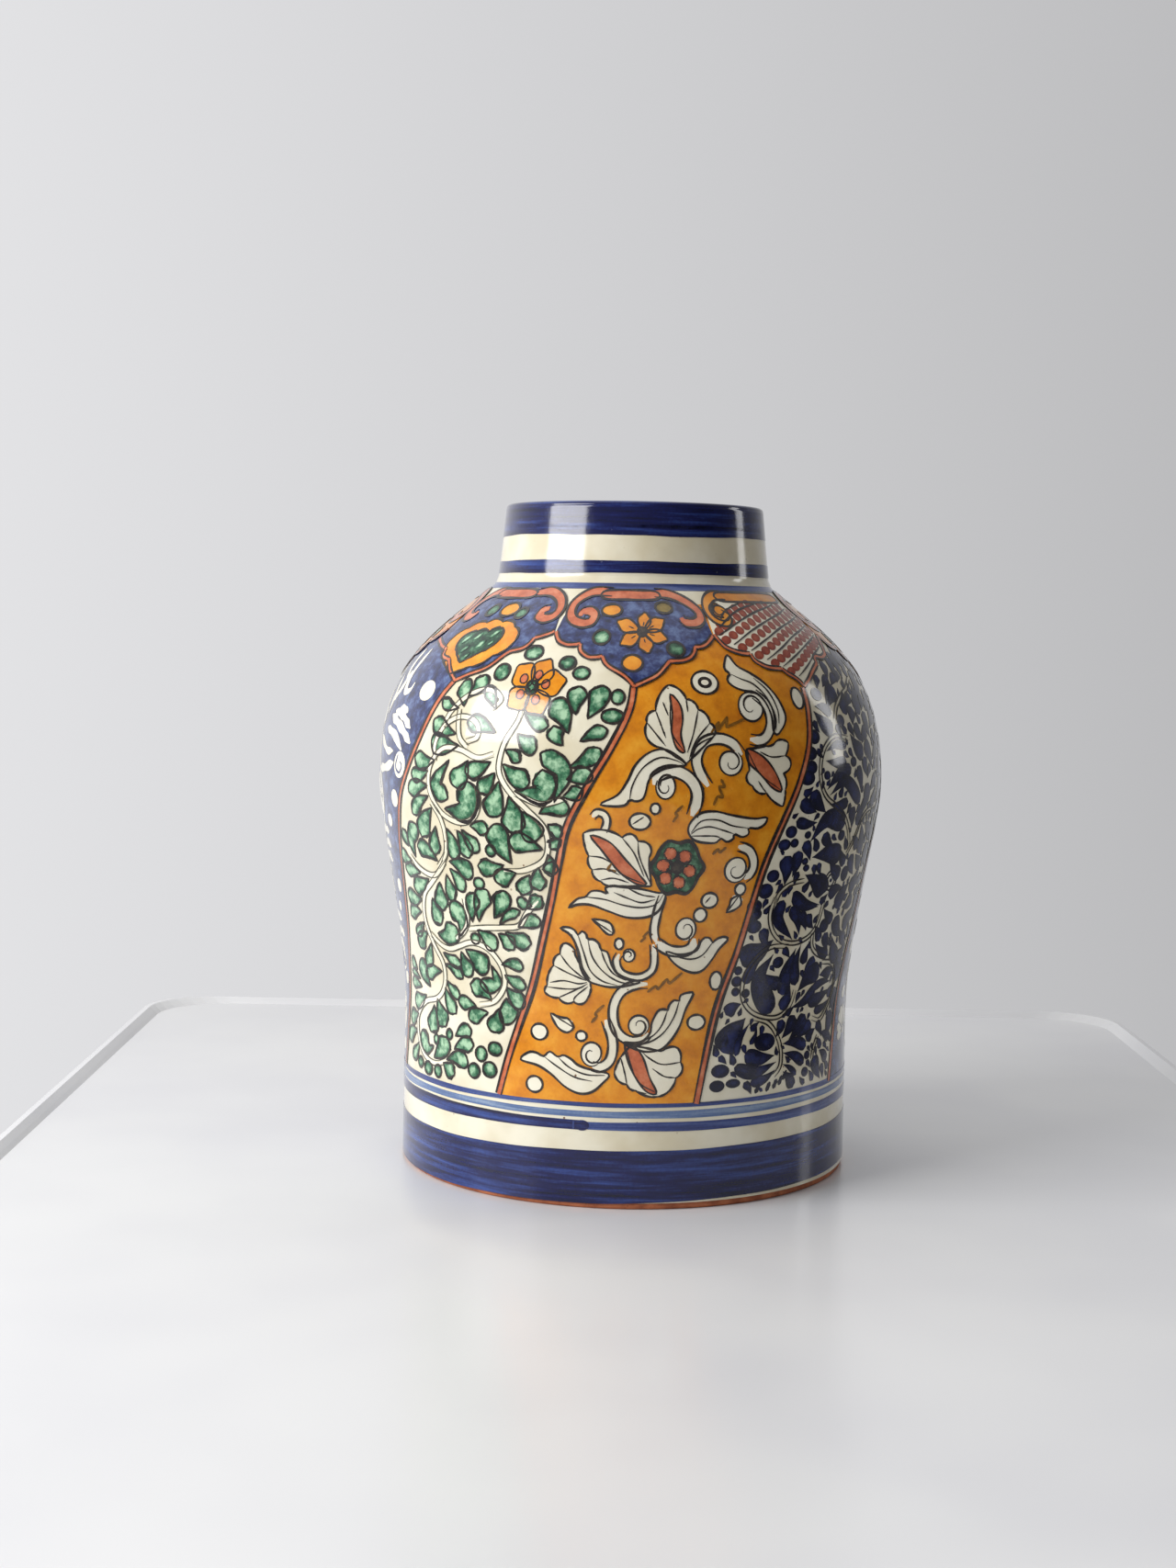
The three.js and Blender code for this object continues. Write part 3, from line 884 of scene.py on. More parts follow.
class Painting:
    """Sheets of one piece of pattern: its fills and its lines, by name."""

    def __init__(self, seed):
        self.seed = seed
        self.sheets = {}

    def sheet(self, name):
        if name not in self.sheets:
            self.sheets[name] = Sheet(self.seed + len(self.sheets))
        return self.sheets[name]

    def outlined_leaf(self, tip, end, width, bend=None, fill="green", line="outlines", size=None):
        """A leaf with a line round it. Some green leaves have a heavier line down one side."""
        sheet = self.sheet(fill)
        rim = sheet.leaf(tip, end, width * 1.1, bend)
        lines = self.sheet(line)
        lines.stroke(thinned(rim, 3), size or paint_settings().outline, closed=True)
        if fill == "green" and sheet.random.random() < 0.55:
            half = len(rim) // 2
            side = rim[2:half] if sheet.random.random() < 0.6 else rim[half:-2]
            lines.stroke(side[::3], sheet.random.uniform(0.9, 1.6), 0.15)

    def outlined_oval(self, turn, height, half_turn, half_height, fill="green", line="outlines", size=None):
        """An oval dab with a line round it."""
        rim = self.sheet(fill).oval(turn, height, half_turn, half_height)
        self.sheet(line).stroke(rim[::2], size or paint_settings().outline, closed=True)

    def ribbon(self, path, width, fill="white", line="outlines", size=None, ends=0.3):
        """A ribbon with a line down either side."""
        size = size or paint_settings().outline
        self.sheet(fill).stroke(path, width, ends, across=3, waver=0.05)
        lines = self.sheet(line)
        for side in (-1, 1):
            lines.stroke(beside(lines, path, side * width / 2), size, 0.4)

    def shape(self, outline, fill="white", line="outlines", size=None):
        """A filled shape with a line round it."""
        self.sheet(fill).area(outline)
        self.sheet(line).stroke(outline, size or paint_settings().outline, closed=True)

    def lobed(self, hub, rim, fill="white", line="outlines"):
        """A leaf that opens from its hub. Each rim point is a notch, with how far its lobe stands out."""
        outline, lobes = [hub], [[hub, rim[0][:2]]]
        for (x0, y0, _), (x1, y1, bulge) in zip(rim, rim[1:]):
            k = WALL.millimetres_per_degree((y0 + y1) / 2)
            across, up = (x1 - x0) * k, y1 - y0
            size = math.hypot(across, up)
            side = 1 if (x0 - hub[0]) * k * up - (y0 - hub[1]) * across > 0 else -1
            lobe = [(x0 + (x1 - x0) * t + side * up / size * bulge * math.sin(math.pi * t) ** 0.7 / k,
                     y0 + (y1 - y0) * t - side * across / size * bulge * math.sin(math.pi * t) ** 0.7)
                    for t in np.linspace(0, 1, 8)]
            outline += lobe[:-1]
            lobes.append(lobe)
        lobes.append([rim[-1][:2], hub])
        self.sheet(fill).area(outline + [rim[-1][:2]], smooth=False)
        for lobe in lobes:
            self.sheet(line).stroke(lobe, paint_settings().outline, 0.6)

    def volute(self, turn, height, half_turn, half_height, start=0.0, way=1, fill="white", line="outlines"):
        """A round curl. Its line runs round the edge from the start angle, then winds inwards."""
        self.sheet(fill).oval(turn, height, half_turn, half_height)
        spiral = []
        for i in range(27):
            a = start + way * i * 0.4
            share = 1.0 if i < 13 else 1 - 0.74 * (i - 12) / 14
            spiral.append((turn + half_turn * share * math.cos(a),
                           height + half_height * share * math.sin(a)))
        self.sheet(line).stroke(spiral, paint_settings().outline * 0.85)


def thinned(points, every):
    """Every so many points of a rim, so that its line runs smooth."""
    half = len(points) // 2
    kept = points[:half:every] + points[half::every]
    return kept if len(kept) > 4 else points


# ---------------------------------------------------------------- the green leafy panel


GREEN_LEAVES = [
    ((-44.4, 146.8), (-37.6, 141.5), 7.5), ((-44.5, 143.5), (-40.6, 134), 6),
    ((-45.8, 140.5), (-44.2, 129.5), 6.5), ((-48.7, 136.5), (-48.5, 124), 8.5),
    ((-52.3, 128.5), (-50, 117.5), 8), ((-43.4, 113.6), (-46, 127), 8.5, (-42.3, 121.5)),
    ((-51.8, 113), (-44.6, 117.5), 9, (-48, 112.5)), ((-50.4, 104.5), (-44, 100.5), 5),
    ((-50, 99.5), (-43.6, 94.5), 4.5), ((-43.6, 106.5), (-40.6, 96.5), 7), ((-42, 108), (-35.5, 99.5), 9),
    ((-34.3, 102.5), (-38, 93), 6, (-33, 94.5)), ((-34.8, 87), (-41.3, 92.5), 7.5),
    ((-50, 92), (-45.2, 86), 5), ((-50.8, 88.5), (-46.8, 78), 6.5), ((-39.8, 83), (-45.7, 83.3), 6),
    ((-36, 81), (-42, 76.5), 6.5), ((-32.6, 83.5), (-34.8, 73), 8), ((-30.4, 88.5), (-29, 78), 9.5),
    ((-31.3, 103.5), (-25.6, 103.2), 5), ((-30.6, 99), (-25.1, 95), 5.5), ((-30.2, 93.5), (-25.3, 87), 7),
    ((-47, 68), (-41.4, 72), 6), ((-47.3, 62), (-40.4, 65.5), 6.5), ((-50.3, 56.5), (-42.3, 57), 6.5),
    ((-51.6, 54.5), (-47, 50.5), 7), ((-29, 147.5), (-35.8, 146.5), 7), ((-26, 144.5), (-31.2, 140), 7.5),
    ((-39, 121), (-37.3, 134), 7), ((-37, 121.5), (-33.8, 136), 8), ((-32.6, 123.8), (-29.6, 136.3), 8),
    ((-31.2, 121), (-25.5, 128), 4), ((-26.3, 121), (-20.8, 125), 6), ((-37.6, 117.5), (-32.5, 110), 7),
    ((-31.7, 117), (-27.7, 110.5), 6.5), ((-29.7, 118), (-23.2, 114), 7), ((-22.8, 144), (-24.8, 135), 7),
    ((-20.6, 147.5), (-20.3, 137.5), 7), ((-24, 129.5), (-20.2, 135), 6.5),
    ((-22.6, 130.5), (-26.2, 132.5), 5), ((-17.5, 145), (-18.8, 149.5), 5.5), ((-60, 144), (-65.2, 147), 6),
    ((-56.4, 139), (-63.9, 139.3), 6), ((-53, 137), (-60.5, 132), 7.5), ((-57.3, 127), (-65, 128), 7),
    ((-58.4, 121), (-65, 118), 6), ((-57.8, 116.5), (-62.8, 110), 5), ((-56.9, 112), (-61.5, 104), 7.5),
    ((-55.5, 107.5), (-58.8, 96.5), 6.5), ((-51.8, 95.5), (-59.3, 91.5), 6), ((-65, 93), (-68.5, 97.5), 5),
    ((-57.8, 87), (-62.2, 98.5), 8), ((-63.5, 89), (-69, 91), 3), ((-62.8, 85.5), (-69.3, 86), 5),
    ((-60.3, 82.5), (-68, 78), 7), ((-65.3, 72.5), (-71.5, 69.5), 7), ((-66.3, 64.5), (-73, 58.5), 7),
    ((-64.5, 59.5), (-69.3, 51.5), 6), ((-56.2, 79), (-57.8, 66.5), 9), ((-54.5, 82.5), (-50.8, 71), 8.5),
    ((-56.3, 60.5), (-63, 65.5), 7.5, (-59.5, 58.5)), ((-56, 55.5), (-50.5, 66), 9),
    ((-42.5, 213.5), (-48.4, 217), 4.5), ((-41.8, 202.5), (-49.8, 208), 7),
    ((-40.5, 197.5), (-49.4, 199), 8.5), ((-47.7, 190.5), (-55, 191), 7),
    ((-49.6, 185.5), (-56.2, 183.5), 6), ((-49.8, 179), (-57.4, 175.5), 7),
    ((-49.7, 174.5), (-56.3, 165.5), 6.5), ((-48.7, 169.5), (-53.5, 156), 9),
    ((-57.5, 146), (-55.5, 161), 8, (-58.5, 154)), ((-60, 150.5), (-62.5, 158), 5.5),
    ((-48.5, 146), (-56, 151.5), 7), ((-47.8, 161.5), (-49, 148.5), 7),
    ((-43, 191), (-43, 174.5), 7, (-47, 180)), ((-37.5, 191.5), (-41.8, 181), 9),
    ((-44.2, 170), (-37.3, 182.5), 11, (-38, 170)), ((-31.5, 191.5), (-38, 186.5), 7),
    ((-44.3, 161.5), (-42.3, 148), 7), ((-41, 161), (-38.2, 149), 7), ((-39.6, 161.5), (-35, 153), 6),
    ((-41, 214.5), (-43.3, 225), 7.5), ((-40.3, 219), (-37.3, 228), 7.5), ((-32, 214), (-36, 223), 5),
    ((-13, 213), (-12.6, 224.5), 7.5), ((-10.3, 211.5), (-7.5, 225), 8), ((-14.3, 205), (-18.6, 218), 8.5),
    ((-15.3, 200), (-17.5, 208), 7), ((-24.5, 213), (-18.7, 207.5), 6), ((-25.5, 204), (-21, 198), 7.5),
    ((-28, 197), (-24.5, 192.5), 5), ((-31, 204), (-39, 208), 7),
    ((-16.7, 176), (-20, 196.5), 7.5, (-14.8, 189)), ((-25.5, 180), (-19.5, 189.5), 9, (-19, 179.5)),
    ((-28.5, 191), (-22.2, 183.5), 8), ((-30.4, 187), (-34.3, 178.5), 7),
    ((-29.3, 183.5), (-31.8, 168.5), 9), ((-26.8, 177.5), (-26.3, 162), 10),
    ((-23.8, 171.5), (-21, 159), 9.5), ((-19.5, 155.5), (-27.4, 158.5), 8),
    ((-27, 148.5), (-30.8, 165), 10), ((-37, 163.5), (-32.3, 161.5), 6), ((-11.6, 202), (-6, 207), 5.5),
    ((-13.6, 191), (-7.3, 199), 6.5), ((-14, 186), (-9.2, 190), 7.5), ((-14.8, 178.5), (-10.6, 182), 6),
    ((-20, 171), (-13.5, 174), 7), ((-18, 166.5), (-15, 163), 6), ((-15.2, 160), (-17.8, 156), 5.5),
    ((-18.3, 153.5), (-18, 144), 6),
]
GREEN_DABS = [
    (-26.3, 238, 2.5, 3), (-33, 229.5, 2.1, 3.5), (-16.6, 234, 2.1, 2.8), (-12.8, 230, 2, 2.6),
    (-4, 220.5, 1.5, 3), (-5, 212.5, 2.4, 3), (-38, 62.3, 1.8, 3.3), (-33.8, 65.5, 2, 3),
    (-40.2, 54.3, 1.9, 3.3), (-35.3, 56, 2.1, 3.4), (-49.4, 68, 1.2, 2.4), (-55, 64, 1.1, 2.3),
    (-63.3, 51, 1.6, 2.5), (-58.8, 49.8, 2.1, 3), (-54, 50, 1.6, 2.9), (-36, 138.5, 1.5, 2.5),
    (-38.6, 113.5, 1.4, 2.4), (-32, 153.5, 1.3, 2.6),
]
GREEN_VINES = [
    [(-47.5, 190), (-48, 198), (-45.5, 206), (-41, 210), (-36.5, 208), (-35.5, 202), (-38.5, 199.5)],
    [(-46.5, 203), (-44.5, 212), (-40, 219.5), (-34.5, 222), (-31, 218), (-33, 214)],
    [(-45, 150), (-47.5, 143), (-52, 135.5), (-55.5, 130), (-57, 122), (-56.5, 115), (-54, 107), (-51, 100),
     (-50.5, 93), (-52, 86.5), (-55, 82.5), (-60, 80), (-64, 75), (-65.7, 69), (-64.5, 61), (-61, 55),
     (-56, 53), (-51.5, 55), (-48, 60.5)],
    [(-48.7, 172), (-46, 166), (-44.8, 158), (-45.3, 150), (-48.5, 143.5)],
    [(-60, 146), (-57, 142), (-53, 139.5), (-49.5, 140), (-46, 146)],
    [(-55, 112), (-51, 108), (-47.5, 107), (-44, 109), (-40, 111.5), (-36, 110.5), (-33, 106.5),
     (-31, 100.5), (-31, 93.5), (-34, 86.5), (-38.5, 84)],
    [(-45, 112), (-42, 116), (-40.5, 121), (-40.6, 127), (-41, 131)],
    [(-40.5, 117.5), (-35, 119), (-30, 120), (-26, 121.5), (-24, 127), (-21, 133)],
    [(-31, 195), (-35, 193), (-40, 196), (-45, 196), (-48.5, 190), (-49.5, 182), (-48.5, 175), (-45, 167.5),
     (-40, 164.5), (-36, 167), (-34.3, 174), (-35, 182)],
    [(-25.3, 214), (-26, 209), (-28.5, 200), (-29.5, 190), (-28.5, 184), (-26, 178), (-22.5, 172),
     (-19, 165), (-18.2, 157), (-19.5, 150.5), (-24, 146), (-29, 145)],
    [(-25.5, 179), (-20, 175), (-17, 176), (-14, 178)], [(-42, 213), (-41.5, 207), (-40.5, 201), (-38, 197)],
]
GREEN_FLOWER = (-24, 223.5)
FLOWER_TIPS = [(-29.2, 232.5), (-21, 235.5), (-16, 227), (-20.5, 212.5), (-29, 215)]
FLOWER_BEADS = [(-26.5, 227), (-23, 228.7), (-20.8, 225), (-22.5, 218.5), (-26.5, 220.5)]


def paint_green_panel():
    """Green leaves on curling stems, under one orange flower."""
    p = Painting(11)
    for leaf in GREEN_LEAVES:
        p.outlined_leaf(*leaf)
    for dab in GREEN_DABS:
        p.outlined_oval(*dab)
    for vine in GREEN_VINES:
        p.sheet("stems").stroke(vine, 2.2, 0.3, across=3)
        lines = p.sheet("stem_lines")
        for side in (-1, 1):
            lines.stroke(beside(lines, vine, side * 1.2), paint_settings().vein * 0.85, 0.4)
    flower(p, GREEN_FLOWER, FLOWER_TIPS, 12)
    p.outlined_oval(*GREEN_FLOWER, 1.5, 3, "dark_green")
    for bead in FLOWER_BEADS:
        p.outlined_oval(*bead, 1, 2, "coral", size=0.6)
    return p


def flower(p, centre, tips, width, fill="orange", line="outlines"):
    """Petals from a centre out to their tips."""
    for tip in tips:
        k = WALL.millimetres_per_degree(centre[1])
        along = ((tip[0] - centre[0]) * k, tip[1] - centre[1])
        size = math.hypot(*along)
        outline = [(centre[0] + (along[0] * t - along[1] / size * width * w) / k,
                    centre[1] + along[1] * t + along[0] / size * width * w)
                   for t, w in ((0.12, 0.1), (0.4, 0.4), (0.66, 0.46), (0.86, 0.22), (1, 0), (0.86, -0.22),
                                (0.66, -0.46), (0.4, -0.4), (0.12, -0.1))]
        p.shape(outline, fill, line, paint_settings().outline * 0.75)


# ---------------------------------------------------------------- the orange panel


ORANGE_FANS = [
    # The fan of the upper acanthus.
    ((-9.3, 98.8), [(-12.4, 109, 0), (-12.8, 112.5, 0.3), (-16.3, 110.5, 4), (-17.9, 105.2, 1.2),
                    (-19.6, 96.3, 1),
                    (-20.3, 93.2, 0.4), (-16.8, 91.2, 0.9), (-13.2, 89.8, 1.6), (-9.9, 91.5, 1.8),
                    (-9.1, 96.5, 0.4)]),
    # Bottom palmette.
    ((0.5, 72), [(7.8, 69.2, 0), (12.4, 64.3, 4.6), (11.3, 57.6, 1.8), (6.9, 49.5, 2), (1.8, 52.2, 1),
                 (-0.3, 54.8, 0.9), (-3.3, 60.2, 1.6), (-1.9, 66.5, 0.2)]),
    # Palmette at the left of the rosette.
    ((4, 141.3), [(3.3, 153.5, 0), (0.9, 160.6, 3.2), (-2.4, 162, 2.4), (-10.5, 163.5, 2.4),
                  (-9.4, 153.8, 0.7),
                  (-8.7, 147.9, 1), (-6.8, 143, 1.2), (-4, 141, 0.8)]),
    # Top palmette.
    ((10.6, 193.5), [(5.5, 200, 0), (2.3, 210.3, 3.4), (4.2, 215.2, 1.6), (7.2, 225.8, 1.5), (11, 220, 1.5),
                     (13.5, 215.8, 1.3), (15.9, 210.3, 1.3), (16.6, 204.8, 1.6)]),
    # Lobed leaf at the right of the upper stem.
    ((24, 199.5), [(28.8, 200.6, 0), (31.3, 202.4, 0.7), (34.6, 201.8, 1.1), (33.6, 196.4, 0.5),
                   (34.8, 191.5, 1.4),
                   (32.8, 189, 0.6), (33.4, 182, 1.2), (32.9, 174.8, 0.4), (28.6, 180.8, 0.9),
                   (25.2, 184, 1.5),
                   (24.5, 190.5, 2.2)]),
]
ORANGE_FEATHERS = [
    # Acanthus at the lower left.
    [(-26.5, 62.5), (-24.5, 66), (-22.5, 66.3), (-20.5, 65), (-19, 67.3), (-17, 65.3), (-15.5, 66.2),
     (-13.5, 64.5),
     (-12.2, 62.5), (-10.2, 61.2), (-7.5, 60.2), (-4.5, 58.8), (-6, 55), (-8.5, 51), (-11.5, 50), (-15, 52.5),
     (-18.5, 57.5), (-22, 60.8)],
    # Feathers of the upper acanthus.
    [(-16, 121.8), (-14.3, 122.4), (-12.8, 121.3), (-12, 119.2), (-11.2, 120.9), (-10.2, 120), (-9.8, 117.7),
     (-8.4, 117.6), (-7.2, 115.6), (-6.8, 113.2), (-5.5, 112.5), (-4.9, 110), (-4.4, 107), (-3, 103),
     (-0.5, 100.8),
     (2.5, 99.6), (-1, 97.6), (-4.5, 96.9), (-7.5, 97.8), (-9.8, 99.5), (-11.3, 104), (-12, 110),
     (-12.8, 116),
     (-14, 119.5)],
    # Crescent leaf at the right.
    [(8, 112.8), (9.5, 108.5), (12, 105), (14.8, 103.3), (17, 104.5), (19, 109), (20.5, 113.5), (22.5, 117.5),
     (21.5, 118.8), (19.8, 118), (18.7, 116.3), (18.3, 118), (17, 118.8), (15.9, 117), (15.2, 113.5),
     (13, 111.8),
     (10.5, 111.6)],
    # Hooked leaf over the bottom palmette.
    [(-1.5, 73), (1, 70.5), (4, 69), (7.5, 70), (10, 74), (12, 80), (13.2, 87), (15, 94.3), (13.5, 94.6),
     (11.8, 93.4), (11.6, 91), (10.5, 91.5), (9.3, 89.5), (8.9, 87), (8.2, 87.5), (6.8, 87), (5.8, 84),
     (5.2, 81),
     (5, 77.5), (3.6, 74), (1.5, 72.8)],
    # Leaf under the left palmette.
    [(-14, 131), (-12, 135), (-10.2, 136), (-9, 138.5), (-7, 138.8), (-5.3, 137.6), (-5.9, 140),
     (-4.5, 141.2),
     (-2, 140.8), (2, 140), (5.5, 138.5), (7.2, 138.4), (6.8, 134), (5.5, 130), (3, 127.8), (-1, 127.6),
     (-5, 130),
     (-9, 132.6), (-12, 132.5)],
    # Wing over the rosette.
    [(11.8, 163), (11.3, 166), (12, 169.5), (14, 172.8), (17, 173.4), (21, 171.6), (26, 170), (29, 170.4),
     (28.7, 167.6), (27, 165.8), (24.8, 166), (25, 163.6), (23.5, 162.2), (21.6, 163.6), (21.4, 161.5),
     (20, 160.3),
     (18.6, 161.8), (17.5, 160), (15, 160.1), (13, 161)],
    # Scroll leaf at the left of the upper stem.
    [(10.5, 193), (8, 197.5), (5.5, 199.4), (2.5, 197.5), (0, 192.5), (-1.5, 186), (-3.5, 180), (-7, 176),
     (-4, 175.2), (-1.8, 175.9), (-1, 178), (0.3, 177.5), (1.6, 178.4), (2.2, 181), (3, 187), (5.5, 190.8),
     (8, 192.2)],
    # Crescent at the top right.
    [(23.4, 238.5), (21.8, 235), (21.5, 232.5), (22.5, 230.7), (21.8, 229.5), (21.5, 227.5), (22.8, 225.3),
     (25, 223.8), (28, 222.8), (30, 219), (31, 213), (31, 207), (31.8, 205.2), (33, 207), (34.3, 210),
     (34.8, 214),
     (33.5, 221), (31, 227), (28, 231), (25, 234)],
]
ORANGE_RIBBONS = [
    ([(-8.6, 62.2), (-6.6, 61.8), (-4.6, 64.5), (-3.8, 70), (-4.2, 76), (-5.6, 82.5)], 4),
    ([(6.6, 137), (5.6, 130), (5, 122), (5.6, 117)], 3.4),
    ([(5.6, 117), (8.5, 113.5), (12, 112.9), (14, 115), (14.3, 118.5)], 4.4),
    ([(5, 116), (5.3, 110), (5, 105), (3, 102), (0.5, 101.5), (-2.2, 103.5), (-3.3, 108), (-2.6, 111.5)],
     3),
    ([(4, 98.6), (1, 98), (-2, 95), (-3.7, 89), (-3.7, 82), (-2.6, 77), (0, 73.8), (3, 74.2), (4.6, 77)],
     3.8), ([(22.8, 158.2), (25.3, 156.5), (26.8, 152), (26.7, 147), (25, 144)], 4),
    ([(4, 184.5), (4.5, 188), (7.5, 190.4), (10.8, 188), (12.7, 183), (12.9, 178), (12, 171.5)], 5),
    ([(15.3, 184), (13.4, 190), (12.8, 196), (14.5, 202.3), (18, 203.8), (21, 201.5), (22.8, 197)], 4.4),
    ([(27.5, 222.4), (30, 218), (30.6, 211), (29.4, 205.5), (27.5, 203), (25, 203.6)], 4.4),
    ([(-6.3, 164.5), (-5.6, 168), (-6, 171.3), (-7.6, 172.4), (-8.6, 170.4)], 3),
]
ORANGE_VOLUTES = [
    (-8.8, 67.3, 2.5, 5.2, -0.9, -1), (2.2, 80.3, 2.4, 4.5, -0.9, 1), (12.2, 122.5, 2.3, 5, -1.2, 1),
    (6.3, 183.8, 2, 5.2, 2.6, 1), (20.3, 193.8, 2.6, 5.3, 0.9, -1), (26, 217, 3, 6, 1.2, 1),
    (22.8, 148, 2.7, 5.4, -0.4, -1), (-0.5, 111, 1.4, 2.8, 2.8, -1),
]
ORANGE_SPINDLES = [
    [(-1, 72.5), (1.5, 71), (3.5, 66), (5, 58), (6.8, 51), (4.5, 51.5), (2, 57), (0, 64)],
    [(-9, 162.5), (-5, 160), (-1.5, 152.5), (1.5, 146), (3, 142), (0.5, 142.5), (-3, 147.5), (-6, 155)],
    [(7.5, 222), (9.5, 218), (10, 212), (9.5, 205), (10.3, 198), (8.5, 200), (7.5, 207), (7.8, 214)],
    [(24, 199.5), (28, 196), (31, 189), (32.5, 181.5), (30, 183), (27, 189), (24.3, 194)],
]
ORANGE_VEINS = [
    [(-20.5, 65), (-17, 61), (-12.8, 57), (-8.5, 55.6)],
    [(-17, 65.3), (-14, 61), (-10, 58.4), (-5.5, 58.4)],
    [(-12, 119.2), (-10.8, 112), (-9.3, 104), (-6.5, 99.5), (-3, 97.8)],
    [(-9.8, 117.7), (-8.8, 110), (-6.2, 103.5), (-2.5, 99.3), (1, 98.9)],
    [(-6.8, 113.2), (-5.8, 108), (-4, 103), (-1, 100)],
    [(-13.5, 119.5), (-12, 113), (-11, 105), (-9.2, 100)], [(-16.3, 110.5), (-14, 105), (-10.2, 99.5)],
    [(-17.9, 105.2), (-14.5, 102.3), (-10.2, 99.3)],
    [(-18.9, 97.6), (-15.5, 98.8), (-12, 97.8), (-10, 98.6)],
    [(-19.5, 95.5), (-15, 95.2), (-12, 95.8), (-9.9, 98)], [(-16.8, 91.2), (-14.3, 93.5), (-10.8, 96.8)],
    [(-13.2, 89.8), (-12.8, 92), (-9.8, 96.8)], [(18.7, 116.3), (16.5, 111), (13.5, 109.4), (9, 111.4)],
    [(11.6, 91), (10.5, 84), (8, 77), (4.5, 73), (0.5, 72.2)],
    [(8.9, 87), (7.8, 81), (5.8, 76.2), (3, 73.6)], [(12.4, 64.3), (8, 63.5), (5, 66), (3.2, 68.8)],
    [(11.3, 57.6), (8.5, 58.3), (5.6, 61.8)], [(-1.9, 66.5), (-0.9, 60), (-0.3, 54.8)],
    [(1.8, 52.2), (2.4, 51.6), (4.4, 50.8)], [(-9.4, 153.8), (-6.6, 153.2), (-4.2, 150.6)],
    [(-8.7, 147.9), (-5.8, 148.4), (-2.8, 146)], [(-6.8, 143.6), (-4, 144.5), (-0.8, 142.7)],
    [(-2.4, 162), (0, 156), (1.2, 151), (2.4, 145.5)], [(0.9, 160.6), (1.3, 154), (3.2, 145), (3.8, 142.4)],
    [(-10.2, 136), (-6, 135.2), (-2, 133), (2, 132), (5.2, 133.5), (6.7, 137.6)],
    [(-4, 138.4), (-1, 136), (2, 134.2), (5, 135.6)], [(-1, 140.3), (2, 137.6), (5, 136.7)],
    [(24.8, 166), (21, 167.2), (17.5, 169.8), (14, 169.3), (12, 164.5)],
    [(21.6, 163.6), (19, 165.3), (16, 166.9), (13.5, 166), (12, 163.8)],
    [(18.6, 161.8), (17.5, 162.8), (14.5, 163), (12.2, 163)], [(4.2, 215.2), (6.3, 204)],
    [(2.3, 210.3), (6.3, 200.6)], [(5.8, 218.8), (6.9, 213.2)], [(11, 220), (11.2, 214.8)],
    [(13.5, 215.8), (12.2, 206), (10.8, 198)], [(15.9, 210.3), (12.7, 203), (11.2, 195.5)],
    [(16.6, 204.8), (13, 201), (11.6, 194.5)],
    [(-1, 178), (-0.5, 184), (1.5, 191.3), (5, 195.8), (8.6, 194.6), (10.3, 192.6)],
    [(22.8, 230.5), (25, 228.6), (28, 226.4), (30.6, 221), (32, 213), (31.7, 207)],
    [(28.5, 229), (31.4, 223.5), (32.9, 216), (32.7, 210)], [(33.6, 196.4), (30, 196), (27.2, 198.2)],
    [(28.8, 200.6), (26.5, 199.7), (24.8, 199.3)], [(26.6, 186), (27.8, 182.6), (28.6, 181)],
    [(-0.3, 167.8), (2, 171)], [(16.2, 133.8), (17.4, 136.6)],
]
ORANGE_DABS = [
    (39.5, 220.5, 1.7, 4.5), (4.3, 174.5, 1, 2.3), (1.2, 169, 2.2, 3.5), (17.2, 135, 1.9, 3.3),
    (15.3, 128.7, 1.5, 3), (24.3, 139.5, 1.3, 2.6), (-21.7, 75.5, 2.1, 3.5), (-22.7, 52.5, 2.1, 3.5),
    (20.3, 99.5, 1.5, 4), (16, 81.5, 2.2, 3.3), (-2.7, 116, 1, 2.5), (-11.3, 75, 1.3, 2.2),
]
ORANGE_SMALL_LEAVES = [
    ((21.5, 129.5), (24.3, 137), 5), ((-8.8, 126.5), (-4, 120.5), 4), ((-18.8, 84), (-13.2, 78.5), 5.5),
]
ORANGE_ZIGZAGS = [
    [(16, 206), (18, 211), (17.5, 207), (20, 213), (19.5, 208.5), (24, 212)],
    [(16.5, 176), (17.3, 180), (18.6, 179), (17.5, 184), (19, 183.5), (18, 187)],
    [(8, 169), (9, 172), (8.3, 172.5), (10, 176)], [(17, 155), (18.2, 157.5), (18.5, 155.5), (20, 158)],
    [(2, 117), (3.2, 119), (2.6, 119.2), (4, 122)], [(-9, 81), (-7.6, 84), (-8.2, 85), (-6, 89)],
    [(4, 95), (6, 98), (6.4, 96), (8.5, 101), (9, 98.5), (12, 103.5)],
    [(-4.5, 151), (-5.5, 148), (-3.5, 147.5)],
]
ROSETTE = (9.5, 149.5)
ROSETTE_BEADS = [(7.8, 155.5), (11, 154.3), (6.4, 150.3), (12.2, 148), (7, 144.8), (10, 143)]
RING = (15.8, 227)


